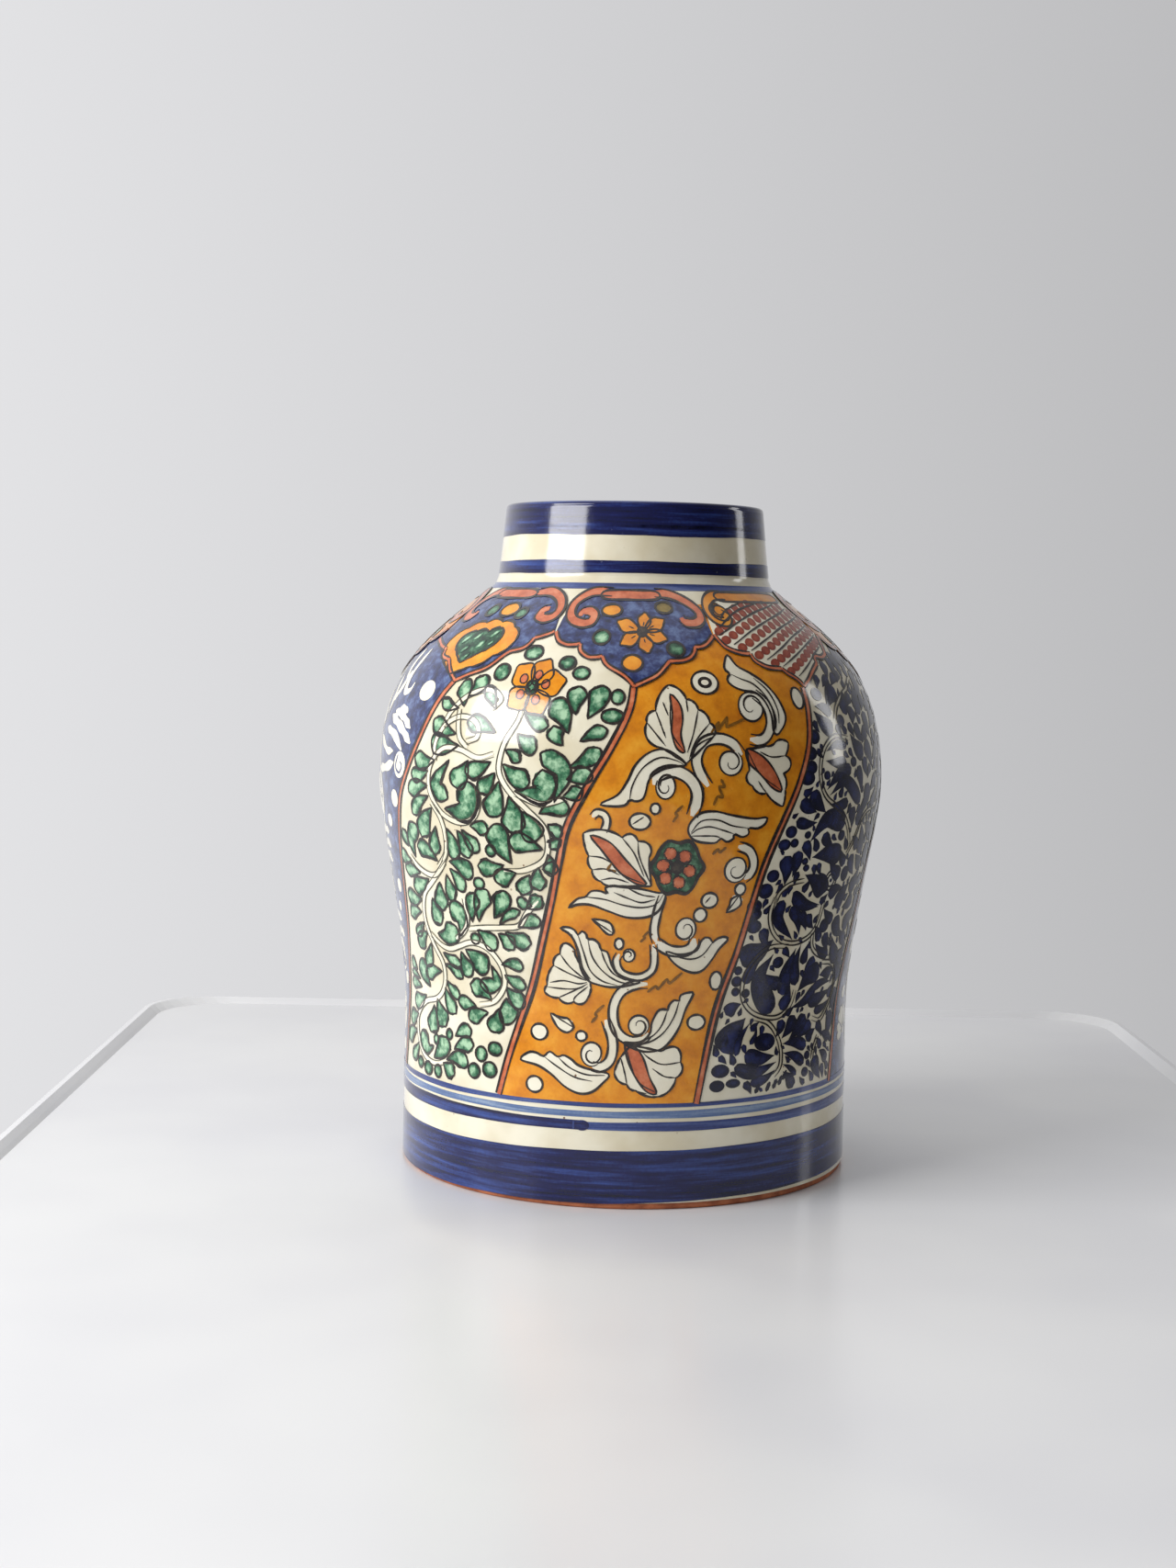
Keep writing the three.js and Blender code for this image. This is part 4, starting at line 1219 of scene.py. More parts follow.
def paint_orange_panel():
    """White acanthus leaves and scrolls with coral hearts, round a dark rosette."""
    p = Painting(31)
    settings = paint_settings()
    for path, width in ORANGE_RIBBONS:
        p.ribbon(path, width)
    for hub, rim in ORANGE_FANS:
        p.lobed(hub, rim)
    for outline in ORANGE_FEATHERS:
        p.shape(outline)
    for volute in ORANGE_VOLUTES:
        p.volute(*volute, fill="white_over")
    for spindle in ORANGE_SPINDLES:
        p.shape(spindle, "coral", size=settings.outline * 0.8)
        p.sheet("outlines").stroke([spindle[0], spindle[-2], spindle[-4]], settings.vein * 0.8)
    for vein in ORANGE_VEINS:
        p.sheet("veins").stroke(vein, settings.vein, 0.3)
    for dab in ORANGE_DABS:
        p.outlined_oval(*dab, fill="white_over")
    for tip, end, width in ORANGE_SMALL_LEAVES:
        p.outlined_leaf(tip, end, width, fill="white_over")
        p.sheet("veins").stroke([tip, end], settings.vein, 0.3)
    for zigzag in ORANGE_ZIGZAGS:
        for a, b in zip(zigzag, zigzag[1:]):
            p.sheet("zigzags").stroke([a, b], settings.outline * 1.15, 0.5)
    p.outlined_oval(*RING, 3.2, 4.7, "white_over")
    p.sheet("outlines").oval(*RING, 1.7, 2.4)
    p.sheet("beads").oval(*RING, 0.9, 1.1)
    rosette(p)
    return p


def rosette(p):
    """A dark rosette with green lobes and coral beads."""
    x, y = ROSETTE
    rim = []
    for i in range(48):
        a = 2 * math.pi * i / 48
        size = 1 + 0.09 * math.cos(6 * a)
        rim.append((x + 5.4 * size * math.cos(a), y + 11.6 * size * math.sin(a)))
    p.sheet("rosette").area(rim, 0.9, smooth=False)
    p.sheet("outlines").stroke(rim[::3], 1.5, closed=True)
    for i in range(6):
        a = math.radians(60 * i + 30)
        p.sheet("outlines").stroke([(x + 1.2 * math.cos(a), y + 2.5 * math.sin(a)),
                                    (x + 3.4 * math.cos(a), y + 7 * math.sin(a))], 2.2)
    p.sheet("outlines").oval(x, y, 1.5, 3)
    for bead in ROSETTE_BEADS:
        p.sheet("rosette_beads").oval(*bead, 1.3, 2.5)
        rim = Sheet().oval(*bead, 1.3, 2.5)
        p.sheet("bead_lines").stroke(rim[::2], 0.8, closed=True)


# ---------------------------------------------------------------- the cobalt leafy panel


COBALT_LEAVES = [
    ((27.5, 88.5), (23.5, 84), 6), ((29, 82), (23, 67.5), 12), ((30.3, 79.5), (26.5, 65.5), 3.5),
    ((32.5, 77.5), (30.5, 70), 2.5), ((38.2, 64), (29, 65.5), 7), ((38.8, 61), (26.2, 60.5), 6, (32, 57.5)),
    ((38.5, 57.5), (30.8, 53), 4.5), ((40.8, 68.5), (49.8, 65.5), 5.5), ((41, 64.5), (49, 58), 5),
    ((41, 59.5), (46, 53.5), 3), ((53.7, 72.5), (50, 67.5), 5), ((38.5, 72), (40.5, 79.5), 5),
    ((40.5, 71), (44.8, 80.5), 6), ((43, 70), (49, 80), 6.5), ((45.5, 69.5), (52, 75), 6),
    ((33, 110.5), (28, 97), 5), ((35.5, 109.5), (36.5, 83), 10, (32, 98)), ((33.5, 101), (38.8, 95), 6),
    ((42.7, 111), (39.8, 90.3), 7.5), ((44.3, 112.5), (44, 94), 6), ((47, 112.3), (46, 103), 5),
    ((46.7, 99), (51, 104), 5.5), ((45.2, 91), (53.5, 99.5), 9), ((43.3, 84), (52.5, 92), 5),
    ((60, 89), (49.7, 85), 6), ((60, 92.5), (51, 91), 4), ((53.7, 96.5), (59.7, 96), 5.5),
    ((60, 84), (52.8, 80.5), 4), ((35, 116), (26, 109), 10), ((41, 115), (36.5, 133.5), 6, (35.5, 125)),
    ((43, 117), (39, 130), 6), ((45.3, 118.5), (42, 127), 5.5), ((48, 119), (45, 126), 5),
    ((48.5, 128.8), (39, 135), 6), ((51, 127.5), (56, 121), 5), ((49.7, 112), (56.5, 105.5), 5),
    ((43, 171.5), (38, 177), 6), ((46, 171), (41, 180.5), 7), ((43.5, 167), (37, 168), 5),
    ((36, 140), (35, 153), 7), ((38, 143.5), (38.8, 155), 6), ((42, 144), (49.5, 134), 8),
    ((47, 144.5), (49.5, 134), 8), ((49, 129.5), (39, 136.5), 4.5), ((42, 158.5), (54, 165), 9, (47, 168)),
    ((43.5, 151.5), (54.5, 151), 9), ((58, 136), (52, 133), 6), ((46, 197.5), (54, 199.5), 4),
    ((45.7, 193.5), (53.5, 192.5), 5), ((46, 181), (55.5, 189.5), 6),
    ((47, 178.5), (60, 174), 7, (53, 184)), ((47, 174.5), (54.3, 175), 5), ((60.5, 178), (58.5, 190), 6),
    ((57.5, 162.5), (56, 172), 6), ((64, 185), (62.5, 194), 6), ((44.5, 217), (50, 213.5), 5),
    ((50, 225), (54, 229), 4), ((54, 225.5), (58, 230), 4), ((57.5, 226.5), (61, 231.5), 4),
    ((58.5, 208), (60, 216), 7), ((62, 200), (66, 206), 6), ((66, 214), (70, 221), 6),
    ((66, 178), (71, 184), 6), ((65, 164), (70, 158), 6), ((62.5, 150), (67, 144), 6),
    ((60, 126), (66, 130), 6), ((61, 116), (66, 110), 6), ((66, 100), (71, 95), 5), ((56, 62), (60, 56), 5),
    ((56.5, 70), (61.5, 66), 5), ((62, 80), (66.5, 76), 5), ((66, 136), (70.5, 139), 5),
    ((68, 192), (74, 198), 6), ((69, 206), (76, 211), 6), ((71, 168), (77, 173), 6),
]
COBALT_DABS = [
    (22.5, 59.5, 2.4, 3), (21.7, 53, 2, 2.6), (26, 53.7, 2, 2), (35, 70.5, 3.2, 4), (50.3, 61.3, 1.2, 2),
    (49.5, 54, 1.4, 2.2), (28.5, 93, 1.2, 2), (37.3, 105.5, 1.7, 2.6), (28.5, 131.5, 2, 3),
    (28.5, 128, 2.2, 3), (29, 122.5, 2, 3), (26, 103.3, 1.1, 2), (25.8, 98.5, 1.4, 2.4), (25.7, 94, 1.1, 2),
    (52.5, 119.5, 2, 3.3), (42.5, 204, 1.8, 3.2), (41, 197, 1.9, 3), (41, 191, 1.8, 3),
    (39.8, 186.5, 2.2, 3.2), (41, 161.7, 1, 1.7), (36, 163.5, 1.6, 2.7), (34.5, 158, 1.7, 2.5),
    (37.3, 158.5, 1.2, 2), (41.3, 150, 1, 1.6), (42, 147, 1, 1.6), (32.5, 144.5, 1.7, 2.8),
    (31, 138, 2, 3.4), (53.3, 160, 1.4, 2.4), (58, 142, 1.8, 3.5), (46, 187.2, 1.1, 2),
    (56.7, 192.2, 1.4, 2.3), (53.2, 210.5, 1.6, 2.6), (46.5, 222, 1.9, 2.8),
]
COBALT_TICKS = [(33, 50.3), (36.3, 50.5), (38.5, 51.3), (40.3, 52.5), (41.8, 54.5)]
COBALT_VINES = [
    [(31.5, 81.5), (36, 78.5), (39, 72), (40.3, 65), (40, 58.5), (38, 55)],
    [(40, 112.5), (34, 112.5), (29.5, 106), (27.5, 98), (28, 90), (31, 84), (36, 81), (40, 81.5), (43, 86),
     (44, 92)],
    [(34, 135), (33, 128), (34, 121), (37, 115.5), (42, 113.5), (47, 116), (49.5, 122), (50.5, 131)],
    [(48, 117), (48.5, 111), (51, 107), (55, 104.5), (58, 104)],
    [(54, 102.5), (59, 101), (62, 96), (62, 88), (60, 82), (56, 76), (52, 77.5)],
    [(55, 69), (53, 63), (52.5, 59)], [(51, 211), (52.5, 216), (56, 220.5), (61, 224), (66, 228.5)],
    [(55, 202.5), (50, 204), (46, 200), (44, 193), (44, 184), (46, 177.5), (50, 173), (53, 169), (56, 162),
     (57.5, 155)], [(57, 151), (60, 158), (62, 165), (65, 169), (70, 170.5)],
    [(34, 132), (35, 137), (38, 140.5), (42, 141.5)],
]
COBALT_RING = (52, 140)


def paint_cobalt_panel():
    """Dense cobalt leaves with thin curling stems, round a small ring."""
    p = Painting(51)
    for tip, end, width, *bend in COBALT_LEAVES:
        p.sheet("leaves").leaf(tip, end, width * 1.08, *bend)
    for dab in COBALT_DABS:
        p.sheet("leaves").oval(*dab)
    for x, y in COBALT_TICKS:
        p.sheet("leaves").stroke([(x - 0.6, y - 2), (x + 0.6, y + 2)], 2)
    fill_with_leaves(p)
    for vine in COBALT_VINES:
        for side in (-1, 1):
            p.sheet("stems").stroke(beside(p.sheet("stems"), vine, side * 0.9), paint_settings().vein, 0.3)
    x, y = COBALT_RING
    for half_turn, half_height in ((2.4, 4.5), (1.5, 2.8)):
        rim = Sheet().oval(x, y, half_turn, half_height)
        p.sheet("leaves").stroke(rim[::2], 0.8, closed=True)
    p.sheet("leaves").oval(x, y, 0.5, 0.9)
    return p


# Millimetres to a degree at the cobalt panel's middle, and near its top.
COBALT_SPAN, COBALT_TOP_SPAN = 1.95, 1.8


def fill_with_leaves(p):
    """Leaves wherever the panel still has room between its two ribs, the largest first."""
    sheet = p.sheet("leaves")
    taken = [(x, y) for x, y, _ in sheet.points]
    taken += [tuple(q) for vine in COBALT_VINES for q in through(vine, steps=4)]
    tops = [q for lobe in RIGHT_BORDER + OUTER_BORDER for q in lobe]
    cells = {}

    def cell(x, y):
        return int(x * 2 // 4), int(y // 4)

    def take(x, y):
        cells.setdefault(cell(x, y), []).append((x, y))

    def free(x, y, room):
        column, row = cell(x, y)
        near = [q for i in (-1, 0, 1) for j in (-1, 0, 1) for q in cells.get((column + i, row + j), ())]
        return all(math.hypot((x - a) * COBALT_SPAN, y - b) > room for a, b in near)

    for x, y in taken:
        take(x, y)
    for size in np.linspace(15, 3.4, 18000):
        y = sheet.random.uniform(48.5, 242)
        left, right = rib_turn(2, y) + 1.6, rib_turn(3, y) - 1.6
        x = sheet.random.uniform(left, right)
        if y > 222 and (y > float(np.interp(x, [42.5, 66, 88], [222, 242, 222]))
                        or min(math.hypot((x - a) * COBALT_TOP_SPAN, y - b) for a, b in tops) < 3.4):
            continue
        lean = sheet.random.uniform(0.5, 1.3) if int(y / 24) % 2 else sheet.random.uniform(1.8, 2.6)
        lean += math.pi * sheet.random.choice((0, 1))
        tip, end = [(x + side * size / 2 * math.cos(lean) / COBALT_SPAN, y + side * size / 2 * math.sin(lean))
                    for side in (-1, 1)]
        full = (x + 0.23 * size * math.cos(lean) / COBALT_SPAN, y + 0.23 * size * math.sin(lean))
        if not all(left < place[0] < right and place[1] > 47.6 for place in (tip, end)):
            continue
        rooms = ((full, size * 0.25 + 0.2), (end, 0.35), ((x, y), size * 0.17 + 0.2), (tip, 0.3))
        if all(free(*place, room) for place, room in rooms):
            before = len(sheet.points)
            sheet.leaf(tip, end, size * 0.57)
            for a, b, _ in sheet.points[before:]:
                take(a, b)


# ---------------------------------------------------------------- the blue panel


BLUE_FINGERS = [
    ([(-68, 210), (-65, 211.5), (-62, 210)], 3), ([(-70, 210), (-64, 208), (-59, 203)], 3.5),
    ([(-72, 208), (-64, 203), (-58, 196.5)], 4), ([(-74, 202), (-67, 199), (-62, 193)], 4),
    ([(-78, 183), (-72, 184), (-66, 187)], 4), ([(-76, 214), (-72, 220), (-70, 228)], 3.4),
    ([(-78, 208), (-76, 216), (-76, 226)], 3.4), ([(-80, 198), (-72, 192), (-67, 192)], 3),
    ([(-67, 238), (-69, 226), (-68, 219), (-65, 219.5), (-64, 223)], 3.2),
    ([(-72, 238), (-73, 230), (-71.5, 224)], 3), ([(-82, 147), (-78, 149), (-74, 147)], 3.4),
    ([(-84, 141), (-79, 143), (-75, 140)], 3.4), ([(-84, 153), (-79, 155), (-74, 154)], 3.4),
    ([(-82, 106), (-78, 108), (-74, 106)], 3.4), ([(-86, 100), (-80, 102), (-76, 99)], 3.4),
    ([(-86, 113), (-81, 115), (-75, 113)], 3.4),
]
BLUE_PALMETTES = [(-88, 128, 0.6, 15), (-96, 88, 2.5, 14), (-84, 66, 0.8, 13), (-78, 172, 3.5, 13),
                  (-97, 150, 0.3, 14), (-106, 66, 2.0, 13), (-86, 205, 1.2, 14)]
BLUE_STEM = [(-79, 232), (-82, 215), (-84, 200), (-80, 186), (-76, 172), (-79, 158), (-86, 145), (-93, 132),
             (-92, 118), (-86, 106), (-85, 94), (-92, 82), (-100, 74), (-101, 62), (-95, 54)]
BLUE_DABS = [
    (-56, 220, 3.2, 4.5), (-65.5, 171, 2, 4), (-71, 160, 1.8, 3), (-71.5, 130, 1.7, 3.2), (-76, 86, 1.8, 3),
    (-80, 54, 2, 3), (-90, 54, 1.8, 3), (-107, 84, 1.8, 3), (-104, 104, 2, 3.4), (-101, 125, 1.8, 3),
    (-74, 120, 1.3, 2.4), (-95, 172, 2, 3.4), (-95, 190, 1.8, 3), (-84, 226, 1.8, 3),
]
BLUE_VOLUTES = [(-62.5, 186.5, 3, 6), (-98, 112, 2.6, 5), (-78, 94, 2.4, 5)]


def palmette(p, x, y, lean, size):
    """A fan of seven fingers that open from a base."""
    for i in range(-3, 4):
        a = lean + i * 0.42
        reach = size * (1 - 0.06 * abs(i))
        k = WALL.millimetres_per_degree(y)
        tip = (x + reach * math.cos(a) / k, y + reach * math.sin(a))
        base = (x + 2.5 * math.cos(a) / k, y + 2.5 * math.sin(a))
        p.sheet("cream").leaf(base, tip, 4.2)
    p.sheet("cream").oval(x, y, 0.9, 1.8)


def paint_blue_panel():
    """Cream fingers, fans and dabs left bare in a washed blue ground."""
    p = Painting(71)
    for path, width in BLUE_FINGERS:
        p.sheet("cream").stroke(path, width, 0.2, across=3)
    p.sheet("cream").stroke(BLUE_STEM, 2.6, 0.3, across=3)
    for fan in BLUE_PALMETTES:
        palmette(p, *fan)
    for dab in BLUE_DABS:
        p.sheet("cream").oval(*dab)
    for x, y, half_turn, half_height in BLUE_VOLUTES:
        p.sheet("cream").oval(x, y, half_turn, half_height)
        p.sheet("curls").stroke([(x + half_turn * s * math.cos(a), y + half_height * s * math.sin(a))
                                 for s, a in ((0.8, 2), (0.7, 3.4), (0.6, 4.8), (0.45, 6.2), (0.25, 7.6))],
                                 0.9)
    return p


# ---------------------------------------------------------------- the lappets


CENTRE_BORDER = [
    [(-22.5, 247), (-20.5, 243), (-17.5, 241.5), (-14.6, 242)],
    [(-14.6, 242), (-14, 239), (-11.5, 236.5), (-8.4, 237)],
    [(-8.4, 237), (-7, 233.5), (-4, 230.5), (-2, 228), (-0.5, 225)],
    [(-0.5, 225), (2.5, 227.5), (5, 230), (8, 235.5)], [(8, 235.5), (11.5, 236), (14, 238), (15.2, 241.5)],
    [(15.2, 241.5), (17.5, 242), (20, 244.5), (21.3, 246.5)],
]
LEFT_BORDER = [
    [(-68, 242.5), (-62, 239.5), (-58, 238)], [(-58, 238), (-57, 235), (-53, 233.6)],
    [(-53, 233.6), (-50, 229), (-46.5, 225)], [(-46.5, 225), (-42.5, 228), (-38, 231), (-34.5, 236.5)],
    [(-34.5, 236.5), (-33.5, 238), (-29.5, 240), (-28, 244)], [(-28, 244), (-25, 245.5), (-23, 247)],
]
RIGHT_BORDER = [
    [(21.8, 247), (23.5, 242), (27, 239.5), (30.2, 239)],
    [(30.2, 239), (30.5, 236.5), (33.5, 233.5), (38, 232.8)],
    [(38, 232.8), (39, 231), (41.5, 228.5), (43, 225.5)],
    [(43, 225.5), (45.5, 228), (48.5, 231.5), (52.4, 235)],
    [(52.4, 235), (53.5, 238), (57, 237.5), (60.5, 239)], [(60.5, 239), (62, 241.5), (66.5, 247)],
]
OUTER_BORDER = [[(x + 89.5, y) for x, y in lobe] for lobe in CENTRE_BORDER]
TOP_EDGE = 265.8


def lappet_ground(p, border, middle, fill):
    """The ground of a lappet, inside its scalloped border and its rounded shoulders."""
    edge = [point for lobe in border for point in through(lobe, steps=4)[:-1]] + [border[-1][-1]]
    half = 21.8
    shoulder = [(half, 253), (half - 0.6, 258), (half - 3.5, 263), (half - 9, TOP_EDGE)]
    top = [(middle + x, y) for x, y in shoulder] + [(middle, TOP_EDGE)]
    top += [(middle - x, y) for x, y in reversed(shoulder)]
    p.sheet(fill).area([tuple(q) for q in edge] + top, 0.5, smooth=False, step=2.2)


def lappet_border(p, border):
    """A coral border with a dark line down either side."""
    for lobe in border:
        p.ribbon(lobe, 1.7, "coral", "outlines", paint_settings().outline * 0.75, 0.7)


def scroll(p, path, width=3.8, fill="coral"):
    """A broad ribbon that ends in a curl."""
    p.ribbon(path, width, fill, "outlines", paint_settings().outline, 0.5)


def pill(p, left, right, low, high, fill="coral"):
    """A flat bar with rounded ends under the neck line."""
    middle = (low + high) / 2
    over = [(left + 1, high - 0.6), (left + 4, high), (right - 4, high), (right - 1, high - 0.6)]
    under = [(right - 1, low + 0.6), (right - 4, low), (left + 4, low), (left + 1, low + 0.6)]
    p.shape([(left, middle)] + over + [(right, middle)] + under, fill)


def centre_lappet(p):
    """Blue, with an orange flower and dots between two coral scrolls."""
    lappet_ground(p, CENTRE_BORDER, -0.5, "blue")
    lappet_border(p, CENTRE_BORDER)
    scroll(p, [(-8.5, 264.5), (-15, 264.5), (-19, 262), (-20.9, 258), (-19.6, 253), (-16, 250.7),
               (-13.2, 251.5),
               (-12.6, 254), (-14.5, 256), (-17, 255.5), (-17, 253.7)])
    scroll(p, [(6.5, 264.5), (12, 263.7), (17, 260.8), (19.8, 257), (19.6, 253.4), (17.2, 251.6), (14.4, 252),
               (13.6, 253.8)])
    pill(p, -12.5, 8.5, 261.2, 265.3)
    petals = [(2.8, 256), (-5.8, 252), (8.3, 253), (8.3, 244.5), (3, 238.5), (-4.3, 242)]
    flower(p, (1.5, 247.5), petals, 6.4)
    for tip in petals:
        p.sheet("veins").stroke([((tip[0] + 1.5) / 2, (tip[1] + 247.5) / 2),
                                 (0.3 * tip[0] + 1.05, 0.3 * tip[1] + 173.25)], 0.45)
    p.sheet("outlines").oval(1.5, 247.5, 1.5, 2.4)
    p.outlined_oval(-7.7, 256.5, 3.2, 2.6, "orange")
    p.outlined_oval(-1, 234.5, 2.5, 3.4, "orange")
    p.outlined_oval(8.8, 258, 2.8, 2.5, "olive")
    p.outlined_oval(-9.3, 245, 2.3, 3.1, "green")
    p.outlined_oval(10, 240.5, 2.3, 3, "dark_green")


def left_lappet(p):
    """Blue, with an orange medallion that holds a green heart."""
    lappet_ground(p, LEFT_BORDER, -45.5, "blue")
    p.lobed((-49.5, 227.5), [(-57, 234.5, 0), (-59.5, 241.5, 1.4), (-55.5, 247.5, 1.6), (-49, 250, 1.6),
                             (-42.5, 250.5, 1.6), (-36.5, 248.5, 1.6), (-33.5, 242.5, 1.8), (-38, 236, 1.4),
                             (-43.5, 231, 1.2)], "orange", "veins")
    p.lobed((-48, 232.5), [(-52.5, 237.5, 0), (-54.8, 243, 0.9), (-50, 246.2, 1.1), (-45, 246, 1.1),
                           (-41.5, 248, 0.9), (-38.6, 243.5, 1.2), (-42.5, 237.5, 0.9)], "dark_green",
                           "outlines")
    for x, y, size in ((-51.8, 242.6, 1.7), (-47.6, 244, 1.5), (-42, 245.2, 1.6), (-49.5, 238.4, 1.5),
                       (-44.6, 240.6, 1.7), (-47, 235.6, 1.1), (-41.2, 241.4, 1)):
        p.sheet("heart_lights").oval(x, y, size, size * 0.8, 0.7)
    lappet_border(p, LEFT_BORDER)
    scroll(p, [(-38, 263.8), (-32, 264.2), (-27, 261.5), (-24.8, 257.3), (-25.6, 253.6), (-28.4, 252.4),
               (-31, 254), (-30.6, 256), (-28.5, 256.8)])
    scroll(p, [(-56, 264), (-62, 263.5), (-66, 260), (-66.5, 255.5), (-63.5, 252.4), (-60.5, 253),
               (-60, 255)])
    pill(p, -59.5, -38, 261.2, 265.3)
    p.outlined_oval(-44, 256, 3.8, 3, "orange")
    p.outlined_oval(-52, 255.5, 2.6, 2.6, "dark_green")
    p.outlined_oval(-38, 254.5, 2.2, 2.4, "dark_green")


LATTICE_LINES = [
    [(26, 253), (29, 256.5), (33, 258.8), (38, 260.6)],
    [(24.5, 250), (31, 255.3), (38, 258.6), (46, 260.6)],
    [(23.2, 246.6), (32, 252.3), (42, 256.8), (56, 260.4)],
    [(26.5, 242.8), (35, 248.8), (46, 253.8), (62, 258.6)],
    [(31, 240.4), (39, 245.6), (49, 250.6), (64.5, 255.2)],
    [(34.6, 236.6), (42, 241.6), (51, 246.8), (65.4, 251.6)],
    [(38.8, 233.8), (45, 238), (53, 242.6), (64, 247.2)],
    [(42.6, 229.6), (47.6, 233.8), (54, 238.8), (60.4, 242)],
]


def right_lappet(p):
    """White, filled with slanting rows of red-brown seeds, under an orange bar."""
    lappet_ground(p, RIGHT_BORDER, 44, "white")
    lines = [through(line, steps=8) for line in LATTICE_LINES]
    for line in lines:
        p.sheet("veins").stroke(line[::8], 0.65, 0.5)
    for upper, lower in zip(lines, lines[1:]):
        share = np.linspace(0, 1, 13)
        row = [np.array([np.interp(share, np.linspace(0, 1, len(line)), line[:, i]) for i in (0, 1)]).T
               for line in (upper, lower)]
        turns, heights, *_ = p.sheet("seeds").spine((row[0] + row[1]) / 2, step=5.4)
        for x, y in zip(turns, heights):
            p.sheet("seeds").oval(x, y, 1.6, 1.7, 0.35)
    lappet_border(p, RIGHT_BORDER)
    p.volute(27.4, 256.6, 3.2, 3.8, 1.2, 1, "orange")
    scroll(p, [(33, 264), (28, 263.5), (24.6, 260.6), (23.5, 256.5), (25, 253), (28, 252.6), (29.4, 254.6),
               (27.8, 256)], fill="orange")
    pill(p, 29, 64, 261.2, 265.3, "orange")


OUTER_LEAVES = [
    ((89.5, 257), (89.5, 246), 6.5), ((80, 252), (87.5, 244), 6), ((99, 252), (91.5, 244), 6),
    ((81, 240), (87.8, 242), 5.5), ((98, 240), (91.2, 242), 5.5), ((89.5, 230), (89.5, 240), 6),
]


def outer_lappet(p):
    """Orange, with white leaves and coral scrolls."""
    lappet_ground(p, OUTER_BORDER, 89, "orange_ground")
    lappet_border(p, OUTER_BORDER)
    scroll(p, [(80.5, 264.5), (74, 264.5), (70, 262), (68.1, 258), (69.4, 253), (73, 250.7), (75.8, 251.5),
               (76.4, 254), (74.5, 256)])
    scroll(p, [(97, 264.5), (103, 263.7), (107.5, 260.8), (109.9, 257), (109, 253.4), (106, 251.6),
               (103.4, 252),
               (102.6, 253.8)])
    pill(p, 77, 99.5, 261.2, 265.3)
    for tip, end, width in OUTER_LEAVES:
        p.outlined_leaf(tip, end, width, fill="white_over")
        p.sheet("veins").stroke([tip, ((tip[0] + end[0]) / 2, (tip[1] + end[1]) / 2)], 0.5)
    p.outlined_oval(89.5, 243, 1.6, 2.4, "dark_green")
    p.outlined_oval(77.5, 245.5, 2.2, 2.6, "green")
    p.outlined_oval(101.5, 245.5, 2.2, 2.6, "green")


def paint_lappets():
    """The four designs of lappet that repeat round the shoulder."""
    p = Painting(91)
    for design in (left_lappet, centre_lappet, right_lappet, outer_lappet):
        design(p)
    return p


# ---------------------------------------------------------------- operators


class PieceOperator:
    """What the jar's operators share."""

    bl_options = {"REGISTER", "UNDO"}

    def execute(self, context):
        self.build(context)
        return {"FINISHED"}


# How far the top of each layer of paint stands proud of the wall, in millimetres.
LIFTS = {
    "ground": 0.06, "fill": 0.14, "over": 0.2, "line": 0.26, "top": 0.31,
    "lappet": 0.34, "lappet_fill": 0.4, "lappet_over": 0.46, "lappet_line": 0.52,
}


def place_painting(prefix, painting, layers, stands_for=None):
    """Makes a piece of each sheet: layers gives its finish, its record slot and its layer."""
    missing = set(painting.sheets) - set(layers)
    if missing:
        raise RuntimeError(f"{prefix} has sheets with no finish: {sorted(missing)}")
    for name, (finish, slot, layer) in layers.items():
        if name in painting.sheets:
            piece = painting.sheets[name].object(f"{prefix}_{name}", make_finish(finish), LIFTS[layer])
            settle(piece, slot, *(stands_for or {}).get(name, ()))


class JAR_OT_clay(PieceOperator, bpy.types.Operator):
    """Turns the clay foot, and gives the clay and the slip that lie under the glaze their finish"""

    bl_idname = "talavera.clay"
    bl_label = "Clay Body"

    def build(self, context):
        facets = context.scene.talavera_body.facets
        foot = turned_piece("clay_foot", clay_foot_section(), make_finish("terracotta"), facets)
        settle(foot, "terracotta", "clay_base")
        for name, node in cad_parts.items():
            if name.startswith(("clay_", "slip_")) and not node.hide_render:
                node.data.materials.clear()
                node.data.materials.append(make_finish("slip" if name.startswith("slip_") else "terracotta"))


class JAR_OT_glaze(PieceOperator, bpy.types.Operator):
    """Turns the cream glaze outside and the lining inside"""

    bl_idname = "talavera.glaze"
    bl_label = "Glaze"

    def build(self, context):
        facets = context.scene.talavera_body.facets
        glaze = turned_piece("cream_glaze", glaze_section(), make_finish("tin_glaze"), facets)
        settle(glaze, "tin_glaze", "outer_glaze")
        lining = turned_piece("inner_lining", lining_section(), make_finish("lining"), facets)
        settle(lining, "lining", "inner_glaze")


